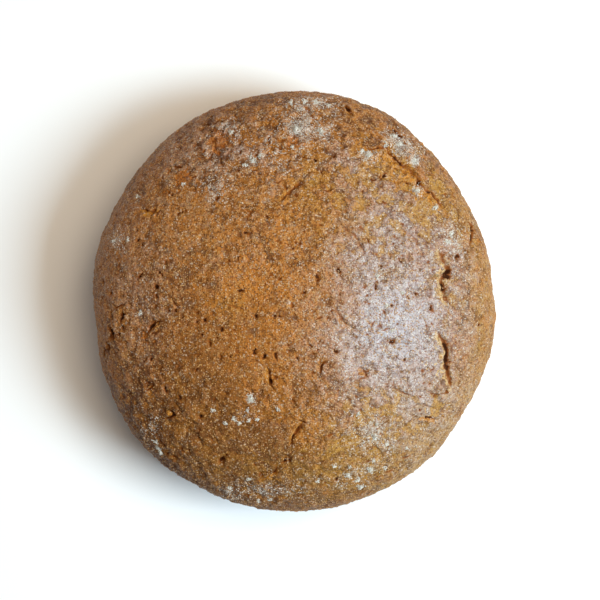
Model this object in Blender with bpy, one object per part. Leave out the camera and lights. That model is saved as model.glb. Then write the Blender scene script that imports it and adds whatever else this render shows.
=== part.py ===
"""Round rye bread loaf: one closed solid, metres, +Z up, resting on z = 0.

The smooth loaf is a profile turned about Z and stretched by its outline.
Lumps, dents, tears, pits and flaked patches then move that surface along
its own normal.  Places on the upper crust are plan millimetres from the
middle of the loaf; places on the side are an azimuth and a height.
"""

import math
import random

import bpy
import numpy as np
from mathutils import Vector, noise
from mathutils.geometry import delaunay_2d_cdt
from mathutils.kdtree import KDTree

MM = 0.001

# Overall size
MEAN_RADIUS = 105.0 * MM
HEIGHT = 87.0 * MM
RING_HEIGHT = 36.0 * MM      # height of the widest ring
BASE_SHARE = 0.74            # radius of the flat base over the widest radius
DOME_POWER = 2.2             # 2 is an ellipse, more is a fuller shoulder
UNDER_POWER = 2.0

# Waves of the outline: waves a turn, share of the radius, azimuth of a crest
OUTLINE_WAVES = (
    (2, 0.0211, 87.0),
    (3, 0.0027, 101.0),
    (4, 0.0030, 79.0),
    (5, 0.0063, 71.0),
    (6, 0.0033, 54.0),
    (7, 0.0026, 13.0),
    (8, 0.0025, 32.0),
)

# Lumps of the dough: size of one lump, rise or fall
LUMPS = (
    (52.0 * MM, 1.7 * MM),
    (21.0 * MM, 0.8 * MM),
    (9.5 * MM, 0.42 * MM),
)
LUMP_FADE = 9.0 * MM         # lumps and marks fade out below this height

# Soft dents and swellings: plan x, y, radius, depth (below zero it swells)
DENTS = (
    (-63.0, -50.0, 8.0, 1.3),
    (-72.0, -10.0, 9.0, 0.9),
    (-11.0, -37.0, 5.0, 0.8),
    (38.0, -34.0, 7.0, 0.9),
    (27.0, -24.0, 6.0, 0.7),
    (50.0, 62.0, 9.0, 1.1),
    (58.0, 72.0, 8.0, -1.2),
    (80.0, 12.0, 10.0, -1.0),
    (66.0, 14.0, 8.0, -0.8),
    (84.0, -30.0, 9.0, -0.9),
    (22.0, 8.0, 8.0, -0.6),
    (45.0, 30.0, 9.0, 0.6),
    (-2.0, 54.0, 8.0, 0.8),
    (66.0, -62.0, 7.0, 1.0),
    (2.0, -66.0, 6.0, 0.8),
    (-40.0, 70.0, 10.0, 0.8),
    (-30.0, 0.0, 4.0, -0.7),
)

# Tears: places, depth, width of the left wall, width of the right wall, lip
TEARS = (
    # Upper right, steep outside and a wide bed towards the middle
    (((34.5, 76.0), (37.5, 74.0), (45.5, 74.0), (47.5, 72.0), (51.0, 68.5),
      (54.5, 65.0), (59.0, 63.0), (60.5, 60.0), (62.0, 57.5), (65.0, 55.0),
      (69.5, 52.0), (72.0, 49.5)), 2.6, 1.3, 4.6, 0.8),
    # Right, upper length and its short branch
    (((70.0, 23.5), (72.0, 20.0), (75.0, 15.5), (74.0, 13.0), (71.0, 10.0),
      (72.0, 6.5), (73.0, 4.5), (74.0, -0.5)), 3.0, 1.9, 2.2, 0.6),
    (((68.0, -1.0), (66.0, -4.0)), 1.4, 1.2, 1.2, 0.3),
    # Right, lower length
    (((69.5, -15.5), (72.5, -19.5), (74.5, -24.0), (74.0, -31.5),
      (75.5, -36.0), (76.5, -41.0)), 2.7, 1.5, 2.6, 0.5),
    # Right edge
    (((90.0, 38.5), (89.5, 33.0), (89.0, 28.5)), 2.0, 1.4, 1.6, 0.5),
    (((79.5, 55.0), (82.0, 51.0)), 1.6, 1.2, 1.2, 0.4),
    # Upper edge
    (((48.5, 88.0), (50.0, 87.0), (53.5, 83.5), (54.5, 82.0)), 1.7, 1.1, 1.4, 0.4),
    (((26.0, 98.5), (30.0, 93.0)), 1.8, 1.2, 1.6, 0.4),
    (((5.5, 97.5), (10.5, 89.5)), 1.0, 1.6, 1.6, 0.3),
    # Upper left
    (((-74.0, 46.0), (-69.5, 44.5), (-67.0, 45.5)), 1.7, 1.2, 2.4, 0.4),
    (((-59.0, 67.0), (-54.5, 67.5)), 1.4, 1.1, 1.4, 0.3),
    # Left
    (((-75.5, 11.5), (-73.0, 14.5)), 1.7, 1.2, 1.4, 0.3),
    (((-87.0, -3.0), (-82.0, -0.5)), 1.7, 1.2, 1.4, 0.3),
    (((-90.0, -15.5), (-88.5, -17.0)), 1.4, 1.1, 1.2, 0.3),
    (((-71.5, -15.5), (-69.0, -12.0), (-67.0, -9.5), (-64.0, -9.0)), 1.6, 1.2, 1.6, 0.4),
    # Rim of the hollow low on the left
    (((-62.0, -52.0), (-57.5, -55.0), (-61.5, -57.0)), 1.7, 1.2, 1.6, 0.4),
    # Lower middle
    (((4.5, -58.5), (2.5, -61.0), (0.0, -65.5), (-1.0, -70.0)), 1.6, 1.2, 1.4, 0.4),
    (((-16.5, -87.5), (-14.5, -85.0), (-8.5, -84.0), (-8.0, -81.0)), 1.9, 1.2, 1.6, 0.5),
    (((15.5, -27.5), (13.5, -30.5), (13.0, -34.0)), 1.4, 1.1, 1.4, 0.4),
    (((-12.0, -31.0), (-11.0, -35.5), (-11.0, -39.5), (-8.5, -42.0)), 1.4, 1.2, 1.6, 0.3),
    (((32.0, -31.0), (34.0, -32.5), (36.0, -36.0)), 1.4, 1.2, 1.6, 0.4),
    # Lower right
    (((62.0, -57.5), (65.0, -56.5), (72.0, -58.5)), 1.6, 1.2, 1.8, 0.5),
    (((59.0, -75.5), (53.5, -78.0)), 1.5, 1.1, 1.5, 0.4),
    # Right of the middle, shallow curved creases
    (((24.0, 36.0), (31.0, 31.0), (35.0, 22.0)), 0.9, 1.4, 1.6, 0.3),
    (((52.0, 36.0), (60.0, 30.0), (63.0, 22.0)), 0.8, 1.4, 1.6, 0.3),
    (((20.0, -2.0), (24.0, -9.0), (31.0, -14.0)), 0.9, 1.4, 1.6, 0.3),
    # Above the middle, a shallow slanting fold
    (((5.0, 59.5), (2.0, 57.0), (-2.5, 53.0), (-5.5, 49.0)), 1.0, 1.8, 1.8, 0.3),
)

# Tears of the side, below the widest ring: azimuths and heights
SIDE_TEARS = (
    (((11.0, 22.0), (16.0, 25.5), (21.0, 24.5), (26.0, 27.0), (31.0, 23.5)), 1.8, 2.2, 2.8, 0.6),
    (((72.0, 20.0), (78.0, 24.0), (84.0, 22.5)), 1.5, 1.8, 2.4, 0.5),
    (((140.0, 27.0), (146.0, 23.0), (152.0, 24.5), (158.0, 20.5)), 1.8, 2.0, 2.6, 0.5),
    (((204.0, 22.5), (210.0, 27.0), (216.0, 25.0), (221.0, 21.5)), 1.7, 2.0, 2.6, 0.5),
    (((263.0, 21.0), (269.0, 25.0), (274.0, 24.0)), 1.5, 1.8, 2.4, 0.5),
    (((319.0, 25.5), (325.0, 21.0), (331.0, 23.5), (338.0, 20.5)), 1.8, 2.2, 2.6, 0.5),
)

# Pits: plan x, y, radius, depth
PITS = (
    (45.0, 62.5, 2.2, 1.6), (11.0, 69.0, 1.5, 1.3), (14.0, 63.5, 1.2, 0.9),
    (-12.5, 41.5, 1.5, 1.3), (-23.0, 33.5, 1.4, 1.1), (1.5, 29.0, 1.4, 1.1),
    (12.0, 12.0, 1.4, 1.1), (21.5, 15.0, 1.6, 1.3), (-17.5, -6.5, 1.5, 1.2),
    (-8.5, -6.5, 1.4, 1.1), (-24.5, 6.0, 1.4, 1.1), (-42.5, -8.0, 1.5, 1.3),
    (-34.0, -13.5, 1.4, 1.1), (-43.5, -15.5, 1.2, 0.9), (-76.5, 35.5, 1.5, 1.3),
    (-76.0, 30.5, 1.4, 1.2), (-64.5, 14.5, 1.5, 1.2), (-66.5, 7.0, 1.5, 1.3),
    (-60.0, -4.0, 1.7, 1.3), (-59.5, 53.0, 1.4, 1.1), (-69.5, -28.0, 1.5, 1.2),
    (-62.5, -42.0, 1.5, 1.2), (-55.0, -47.0, 1.5, 1.2), (-30.0, -26.5, 1.3, 1.0),
    (-14.5, -61.0, 1.3, 1.0), (-35.5, -77.0, 1.6, 1.3), (-4.0, -78.0, 1.7, 1.3),
    (13.0, -18.5, 1.5, 1.2), (-28.0, -96.5, 1.5, 1.2), (-18.5, -24.5, 1.5, 1.3),
    (-13.5, -25.0, 1.4, 1.1), (-8.0, -24.5, 1.8, 1.5), (-46.0, -66.5, 1.9, 1.4),
    (-65.0, -69.5, 1.5, 1.3), (-63.0, -75.5, 1.5, 1.3), (-83.5, -7.5, 1.9, 1.4),
    (-85.0, -15.5, 1.7, 1.4), (-91.0, -22.0, 1.6, 1.3), (86.5, 25.0, 1.6, 1.3),
    (80.5, 22.5, 1.7, 1.4), (92.0, -11.0, 1.6, 1.3), (68.5, -72.0, 1.5, 1.2),
    (62.5, -53.0, 1.5, 1.2), (21.0, -23.5, 1.4, 1.2), (21.5, -87.5, 1.4, 1.1),
    (32.0, -94.5, 1.4, 1.1), (-45.0, -55.5, 1.4, 1.1), (77.0, -0.5, 1.3, 1.0),
    (42.5, 17.5, 1.3, 1.0), (40.0, 6.5, 1.3, 1.0), (59.5, 4.0, 1.4, 1.1),
    (47.5, -1.5, 1.2, 0.9), (48.0, -19.0, 1.3, 1.0), (52.0, 20.0, 1.3, 1.0),
)

# Places where the skin has flaked off: plan x, y, radius, depth
FLAKED = (
    (-36.5, 80.0, 4.6, 0.9),
    (0.6, 79.0, 2.8, 0.7),
    (86.4, 33.5, 3.4, 1.0),
    (-72.0, -16.5, 3.2, 0.7),
    (32.2, 46.0, 2.6, 0.6),
    (54.0, 59.0, 4.0, 0.7),
    (-55.0, 61.0, 3.4, 0.6),
    (71.0, -52.0, 3.6, 0.7),
)

# Further pits out of the camera's sight, low on the side
SIDE_PIT_COUNT = 26
SIDE_PIT_HEIGHTS = (12.0, 42.0)
SIDE_PIT_SEED = 11

# Mesh
TOP_SPACING = 4.2 * MM
SIDE_SPACING = 6.2 * MM
TEAR_STEP = 2.0 * MM
TEAR_GAP = 1.05 * MM         # the nearest two places of the mesh may lie
CLEARANCE = 2.5 * MM         # background places keep this far from a mark
RIM_PLACES = 84
BASE_SPACING = 11.0 * MM
PROFILE_STEPS = 400
GOLDEN_ANGLE = math.pi * (3.0 - math.sqrt(5.0))
SMOOTH_ANGLE = math.radians(50.0)

CRUST_COLOUR = (0.27, 0.115, 0.035, 1.0)
CRUST_ROUGHNESS = 0.72


def clear_scene():
    """Remove whatever objects the file started with."""
    for thing in list(bpy.data.objects):
        bpy.data.objects.remove(thing, do_unlink=True)


def outline_share(azimuth):
    """Radius of the outline over the mean radius, for an array of azimuths."""
    share = np.ones_like(azimuth)
    for waves, amount, crest in OUTLINE_WAVES:
        share = share + amount * np.cos(waves * (azimuth - math.radians(crest)))
    return share


class Profile:
    """The turned profile, from the top of the loaf to the rim of its base."""

    def __init__(self):
        angle = np.linspace(0.0, 0.5 * math.pi, PROFILE_STEPS + 1)
        sine = np.clip(np.sin(angle), 0.0, 1.0)
        cosine = np.clip(np.cos(angle), 0.0, 1.0)
        dome_radius = sine ** (2.0 / DOME_POWER)
        dome_height = RING_HEIGHT + (HEIGHT - RING_HEIGHT) * cosine ** (2.0 / DOME_POWER)
        under_radius = BASE_SHARE + (1.0 - BASE_SHARE) * cosine ** (2.0 / UNDER_POWER)
        under_height = RING_HEIGHT * (1.0 - sine ** (2.0 / UNDER_POWER))
        self.radius = MEAN_RADIUS * np.concatenate([dome_radius, under_radius[1:]])
        self.height = np.concatenate([dome_height, under_height[1:]])
        steps = np.hypot(np.diff(self.radius), np.diff(self.height))
        self.length = np.concatenate([[0.0], np.cumsum(steps)])
        self.plane_radius = self.conformal_radius(steps)

    def conformal_radius(self, steps):
        """Radius in the flat plane where angles are the same as on the loaf."""
        middle = 0.5 * (self.radius[1:] + self.radius[:-1])
        growth = np.cumsum(steps[1:] / middle[1:])
        first = self.radius[1]
        return np.concatenate([[0.0, first], first * np.exp(growth)])

    def place(self, length, azimuth):
        """Places on the smooth loaf for lengths along the profile."""
        radius = np.interp(length, self.length, self.radius) * outline_share(azimuth)
        height = np.interp(length, self.length, self.height)
        return np.column_stack([radius * np.cos(azimuth), radius * np.sin(azimuth), height])

    def nearest_length(self, places):
        """Length along the profile, and azimuth, of places near the surface."""
        azimuth = np.arctan2(places[:, 1], places[:, 0])
        radius = np.hypot(places[:, 0], places[:, 1]) / outline_share(azimuth)
        offset_radius = radius[:, None] - self.radius[None, :]
        offset_height = places[:, 2][:, None] - self.height[None, :]
        nearest = np.argmin(offset_radius ** 2 + offset_height ** 2, axis=1)
        return self.length[nearest], azimuth

    def normals(self, length, azimuth):
        """Outward unit normals of the smooth loaf."""
        small = 0.4 * MM
        turn = 0.004
        inner = np.clip(length - small, 0.0, self.length[-1])
        outer = np.clip(length + small, 0.0, self.length[-1])
        along = self.place(outer, azimuth) - self.place(inner, azimuth)
        around = self.place(length, azimuth + turn) - self.place(length, azimuth - turn)
        normal = np.cross(along, around)
        size = np.linalg.norm(normal, axis=1, keepdims=True)
        normal = np.where(size > 1e-12, normal / np.maximum(size, 1e-12), [0.0, 0.0, 1.0])
        return normal

    def on_top(self, x, y):
        """The place of the smooth upper crust above one plan place."""
        azimuth = np.array([math.atan2(y, x)])
        share = math.hypot(x, y) / (MEAN_RADIUS * outline_share(azimuth)[0])
        share = min(share, 0.999)
        rise = (1.0 - share ** DOME_POWER) ** (1.0 / DOME_POWER)
        return np.array([x, y, RING_HEIGHT + (HEIGHT - RING_HEIGHT) * rise])

    def on_side(self, azimuth_degrees, height):
        """The place of the smooth side at one azimuth and height."""
        azimuth = np.array([math.radians(azimuth_degrees)])
        length = np.interp(-height, -self.height, self.length)
        return self.place(np.array([length]), azimuth)[0]


def unit(vector):
    """The vector at length one."""
    return vector / np.linalg.norm(vector)


class Tear:
    """A tear of the crust: a line on the surface with two walls and lips."""

    def __init__(self, profile, line, depth, left, right, lip):
        self.line = np.array(line)
        self.depth = depth * MM
        self.left = left * MM
        self.right = right * MM
        self.lip = lip * MM
        length, azimuth = profile.nearest_length(self.line)
        self.normal = profile.normals(length, azimuth)
        steps = np.linalg.norm(np.diff(self.line, axis=0), axis=1)
        self.along = np.concatenate([[0.0], np.cumsum(steps)])

    def taper(self, share):
        """One in the middle of the tear and a small share at its ends."""
        return 0.3 + 0.7 * np.sqrt(np.clip(4.0 * share * (1.0 - share), 0.0, 1.0))

    def move(self, places):
        """How far the tear moves each place along the surface normal."""
        best = np.full(len(places), 1e9)
        side = np.zeros(len(places))
        share = np.zeros(len(places))
        for index in range(len(self.line) - 1):
            start = self.line[index]
            step = self.line[index + 1] - start
            reach = places - start
            part = np.clip(reach @ step / (step @ step), 0.0, 1.0)
            away = reach - part[:, None] * step
            distance = np.linalg.norm(away, axis=1)
            normal = unit(self.normal[index] + self.normal[index + 1])
            left_way = np.cross(normal, unit(step))
            closer = distance < best
            best = np.where(closer, distance, best)
            side = np.where(closer, np.sign(away @ left_way), side)
            here = self.along[index] + part * np.linalg.norm(step)
            share = np.where(closer, here / self.along[-1], share)
        taper = self.taper(share)
        width = np.where(side >= 0.0, self.left, self.right) * (0.5 + 0.5 * taper)
        ratio = best / width
        wall = -self.depth * taper * np.clip(1.0 - ratio, 0.0, 1.0) ** 0.85
        lip = self.lip * taper * np.exp(-((ratio - 1.5) / 0.55) ** 2)
        return wall + lip

    def rows(self):
        """Places of the mesh along the bottom, the edges and the lips."""
        count = max(2, int(round(self.along[-1] / TEAR_STEP)) + 1)
        places = []
        for step in np.linspace(0.0, self.along[-1], count):
            centre = np.array([np.interp(step, self.along, self.line[:, axis]) for axis in range(3)])
            normal = unit(np.array([np.interp(step, self.along, self.normal[:, axis]) for axis in range(3)]))
            ahead = min(step + MM, self.along[-1])
            behind = max(step - MM, 0.0)
            front = np.array([np.interp(ahead, self.along, self.line[:, axis]) for axis in range(3)])
            back = np.array([np.interp(behind, self.along, self.line[:, axis]) for axis in range(3)])
            left_way = unit(np.cross(normal, front - back))
            width = 0.5 + 0.5 * self.taper(step / self.along[-1])
            places.append(centre)
            places.append(centre + left_way * self.left * width)
            places.append(centre - left_way * self.right * width)
            places.append(centre + left_way * self.left * width * 2.2)
            places.append(centre - left_way * self.right * width * 1.9)
        return places


class Hollow:
    """A round pit, a flaked patch or a soft dent."""

    def __init__(self, centre, normal, radius, depth, edge):
        self.centre = centre
        self.normal = normal
        self.radius = radius * MM
        self.depth = depth * MM
        self.edge = edge

    def move(self, places):
        """How far the hollow moves each place along the surface normal."""
        ratio = np.linalg.norm(places - self.centre, axis=1) / self.radius
        if self.edge == "soft":
            return -self.depth * np.exp(-ratio ** 2)
        if self.edge == "flat":
            return -self.depth * np.clip((1.25 - ratio) / 0.3, 0.0, 1.0)
        return -self.depth * np.clip(1.0 - ratio ** 2, 0.0, 1.0)

    def ring(self, share, count, turn):
        """Places of the mesh on a ring round the centre."""
        across = unit(np.cross(self.normal, [0.3, 0.5, 0.8]))
        other = np.cross(self.normal, across)
        places = []
        for index in range(count):
            angle = turn + 2.0 * math.pi * index / count
            way = math.cos(angle) * across + math.sin(angle) * other
            places.append(self.centre + way * self.radius * share)
        return places


def surface_normal(profile, place):
    """Normal of the smooth loaf at one place."""
    length, azimuth = profile.nearest_length(place[None, :])
    return profile.normals(length, azimuth)[0]


def make_tears(profile):
    """All tears, those of the upper crust first."""
    tears = []
    for line, depth, left, right, lip in TEARS:
        places = [profile.on_top(x * MM, y * MM) for x, y in line]
        tears.append(Tear(profile, places, depth, left, right, lip))
    for line, depth, left, right, lip in SIDE_TEARS:
        places = [profile.on_side(azimuth, height * MM) for azimuth, height in line]
        tears.append(Tear(profile, places, depth, left, right, lip))
    return tears


def make_hollows(profile, table, edge):
    """Hollows of the upper crust from one table."""
    hollows = []
    for x, y, radius, depth in table:
        centre = profile.on_top(x * MM, y * MM)
        hollows.append(Hollow(centre, surface_normal(profile, centre), radius, depth, edge))
    return hollows


def make_side_pits(profile):
    """Seeded pits low on the side."""
    chance = random.Random(SIDE_PIT_SEED)
    pits = []
    for _ in range(SIDE_PIT_COUNT):
        azimuth = chance.uniform(0.0, 360.0)
        height = chance.uniform(*SIDE_PIT_HEIGHTS) * MM
        centre = profile.on_side(azimuth, height)
        radius = chance.uniform(1.5, 2.1)
        depth = chance.uniform(1.0, 1.4)
        pits.append(Hollow(centre, surface_normal(profile, centre), radius, depth, "round"))
    return pits


def mark_places(tears, pits, flaked):
    """Places of the mesh that belong to the marks, never too near each other."""
    wanted = []
    for tear in tears:
        wanted.extend(tear.rows())
    for hollow in flaked:
        wanted.append(hollow.centre)
        wanted.extend(hollow.ring(0.9, 7, 0.2))
        wanted.extend(hollow.ring(1.3, 10, 0.0))
    for pit in pits:
        wanted.append(pit.centre)
        wanted.extend(pit.ring(1.0, 6, 0.4))
    kept = []
    for place in wanted:
        if all(np.linalg.norm(place - other) > TEAR_GAP for other in kept):
            kept.append(place)
    return np.array(kept)


def background_places(profile, marks):
    """A sunflower of places, closer together on the dome than on the side."""
    blend = np.clip((profile.height - 0.5 * RING_HEIGHT) / RING_HEIGHT, 0.0, 1.0)
    spacing = SIDE_SPACING + (TOP_SPACING - SIDE_SPACING) * blend
    density = 2.0 * math.pi * profile.radius / (0.866 * spacing ** 2)
    steps = np.diff(profile.length)
    counts = np.concatenate([[0.0], np.cumsum(0.5 * (density[1:] + density[:-1]) * steps)])
    total = int(counts[-1])
    index = np.arange(total) + 0.5
    length = np.interp(index, counts, profile.length)
    azimuth = np.mod(index * GOLDEN_ANGLE, 2.0 * math.pi)
    inside = length < profile.length[-1] - 0.55 * SIDE_SPACING
    length = length[inside]
    azimuth = azimuth[inside]
    places = profile.place(length, azimuth)
    tree = KDTree(len(marks))
    for number, mark in enumerate(marks):
        tree.insert(mark, number)
    tree.balance()
    free = np.array([tree.find(place)[2] > CLEARANCE for place in places])
    return length[free], azimuth[free]


def lumps(places):
    """Rise and fall of the dough at each place."""
    total = np.zeros(len(places))
    for size, amount in LUMPS:
        offset = Vector((size * 31.0, 7.0, -3.0))
        values = [noise.noise(Vector(place) / size + offset) for place in places]
        total = total + amount * np.array(values)
    return total


def crust_mesh(profile, movers, tears, pits, flaked):
    """Places and triangles of the crust down to the rim of the base."""
    marks = mark_places(tears, pits, flaked)
    mark_length, mark_azimuth = profile.nearest_length(marks)
    back_length, back_azimuth = background_places(profile, marks)
    rim_azimuth = np.arange(RIM_PLACES) * 2.0 * math.pi / RIM_PLACES
    rim_length = np.full(RIM_PLACES, profile.length[-1])
    length = np.concatenate([rim_length, mark_length, back_length])
    azimuth = np.concatenate([rim_azimuth, mark_azimuth, back_azimuth])
    plane_radius = np.interp(length, profile.length, profile.plane_radius)
    plane_radius = plane_radius / profile.plane_radius[-1]
    plane = np.column_stack([plane_radius * np.cos(azimuth), plane_radius * np.sin(azimuth)])
    result = delaunay_2d_cdt([Vector(place) for place in plane], [], [], 0, 1e-9)
    triangles = [tuple(face) for face in result[2]]
    smooth = profile.place(length, azimuth)
    normal = profile.normals(length, azimuth)
    shift = lumps(smooth)
    for mover in movers:
        shift = shift + mover.move(smooth)
    fade = np.clip(smooth[:, 2] / LUMP_FADE, 0.0, 1.0)
    fade = fade * fade * (3.0 - 2.0 * fade)
    places = smooth + normal * (shift * fade)[:, None]
    return places, triangles


def base_mesh(crust_places):
    """Places and triangles of the flat base inside the rim."""
    rim = crust_places[:RIM_PLACES, :2]
    reach = BASE_SHARE * MEAN_RADIUS - 0.6 * BASE_SPACING
    total = int(math.pi * reach ** 2 / (0.866 * BASE_SPACING ** 2))
    index = np.arange(total) + 0.5
    radius = reach * np.sqrt(index / total)
    azimuth = index * GOLDEN_ANGLE
    inner = np.column_stack([radius * np.cos(azimuth), radius * np.sin(azimuth)])
    plane = np.vstack([rim, inner])
    border = [list(range(RIM_PLACES))]
    result = delaunay_2d_cdt([Vector(place) for place in plane], [], border, 1, 1e-9)
    triangles = [tuple(face) for face in result[2]]
    return inner, triangles


def join_base(crust_places, crust_triangles, inner, base_triangles):
    """One closed body from the crust and the flat base."""
    base_places = np.column_stack([inner, np.zeros(len(inner))])
    places = np.vstack([crust_places, base_places])
    places[:RIM_PLACES, 2] = 0.0
    first = len(crust_places)
    faces = []
    for a, b, c in crust_triangles:
        faces.append((a, b, c))
    for face in base_triangles:
        turned = [corner if corner < RIM_PLACES else corner - RIM_PLACES + first for corner in face]
        faces.append((turned[0], turned[2], turned[1]))
    return places, faces


def centred(places):
    """The loaf with the middle of its box over the origin."""
    low = places.min(axis=0)
    high = places.max(axis=0)
    middle = 0.5 * (low + high)
    return places - np.array([middle[0], middle[1], 0.0])


def crust_material():
    """Browned crust."""
    material = bpy.data.materials.new("crust")
    material.use_nodes = True
    shader = material.node_tree.nodes["Principled BSDF"]
    shader.inputs["Base Color"].default_value = CRUST_COLOUR
    shader.inputs["Roughness"].default_value = CRUST_ROUGHNESS
    return material


def add_loaf(places, faces):
    """The loaf as one named object."""
    mesh = bpy.data.meshes.new("loaf")
    mesh.from_pydata([tuple(place) for place in places], [], faces)
    mesh.validate()
    mesh.materials.append(crust_material())
    mesh.shade_smooth()
    mesh.set_sharp_from_angle(angle=SMOOTH_ANGLE)
    loaf = bpy.data.objects.new("loaf", mesh)
    bpy.context.scene.collection.objects.link(loaf)
    return loaf


def main():
    """Build the loaf."""
    clear_scene()
    profile = Profile()
    tears = make_tears(profile)
    pits = make_hollows(profile, PITS, "round") + make_side_pits(profile)
    flaked = make_hollows(profile, FLAKED, "flat")
    dents = make_hollows(profile, DENTS, "soft")
    movers = tears + pits + flaked + dents
    crust_places, crust_triangles = crust_mesh(profile, movers, tears, pits, flaked)
    inner, base_triangles = base_mesh(crust_places)
    places, faces = join_base(crust_places, crust_triangles, inner, base_triangles)
    places = centred(places)
    add_loaf(places, faces)
    size = (places.max(axis=0) - places.min(axis=0)) / MM
    print("loaf size in mm", [round(float(value), 1) for value in size])
    print("loaf triangles", len(faces))


main()
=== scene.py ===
# %% [markdown]
# # A round rye bread loaf
# A whole hearth loaf seen from straight above: a low dome of brown crust with
# fine pale meal on it, dark pores, a few tears that show the golden bed below
# the skin, and small lumps of flour.  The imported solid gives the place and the
# size.  This lesson lays a much finer crust over the same form and dresses it.

import math
import random

import bpy
import numpy as np
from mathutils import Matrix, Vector, noise
from mathutils.bvhtree import BVHTree
from mathutils.geometry import delaunay_2d_cdt
from mathutils.kdtree import KDTree


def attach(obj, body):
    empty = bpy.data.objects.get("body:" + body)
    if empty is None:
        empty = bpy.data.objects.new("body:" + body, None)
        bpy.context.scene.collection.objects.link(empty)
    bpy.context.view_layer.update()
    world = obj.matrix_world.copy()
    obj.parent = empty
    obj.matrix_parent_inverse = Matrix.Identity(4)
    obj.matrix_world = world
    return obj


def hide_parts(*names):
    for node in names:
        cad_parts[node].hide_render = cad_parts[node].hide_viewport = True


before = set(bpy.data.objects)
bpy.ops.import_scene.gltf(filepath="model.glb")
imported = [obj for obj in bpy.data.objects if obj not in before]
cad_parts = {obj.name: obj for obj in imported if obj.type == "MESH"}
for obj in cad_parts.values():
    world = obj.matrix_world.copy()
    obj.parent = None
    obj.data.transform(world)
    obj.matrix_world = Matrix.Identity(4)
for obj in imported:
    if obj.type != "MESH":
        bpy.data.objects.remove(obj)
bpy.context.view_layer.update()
MM = 0.001


def in_mm(low, high):
    """The sides of a box in millimetres."""
    return [round((far - near) / MM, 1) for near, far in zip(low, high)]


# %% [markdown]
# ## The smooth loaf
# Under all its roughness the loaf is a turned shape.  A superellipse makes the
# dome fuller at the shoulder than a plain ellipse, and a quarter ellipse below
# the widest ring rolls under to the flat base.  The outline isn't a circle, so
# a few waves of the azimuth stretch every ring by the same share.  These are
# the solid's own sizes, which keeps the fine crust on the solid.

# %% Sizes of the smooth loaf
MEAN_RADIUS = 105.0 * MM
HEIGHT = 87.0 * MM
RING_HEIGHT = 36.0 * MM
BASE_SHARE = 0.74
DOME_POWER = 2.2
UNDER_POWER = 2.0
PROFILE_STEPS = 800
FULL_TURN = 2.0 * math.pi

# Waves a turn, share of the radius, azimuth of a crest in degrees
OUTLINE_WAVES = (
    (2, 0.0211, 87), (3, 0.0027, 101), (4, 0.003, 79), (5, 0.0063, 71), (6, 0.0033, 54),
    (7, 0.0026, 13), (8, 0.0025, 32),
)


def outline_share(azimuth):
    """Radius of the outline over the mean radius."""
    share = np.ones_like(azimuth)
    for waves, amount, crest in OUTLINE_WAVES:
        share = share + amount * np.cos(waves * (azimuth - math.radians(crest)))
    return share


# %% The turned profile
SEARCH_BATCH = 2000        # places compared with the profile at once, to spare memory
NORMAL_STEP = 0.4 * MM     # steps along and around that give a normal
NORMAL_TURN = 0.004
TINY = 1e-12
RIM_SHARE = 0.999          # marks of the top stay inside this share of the radius


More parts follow.
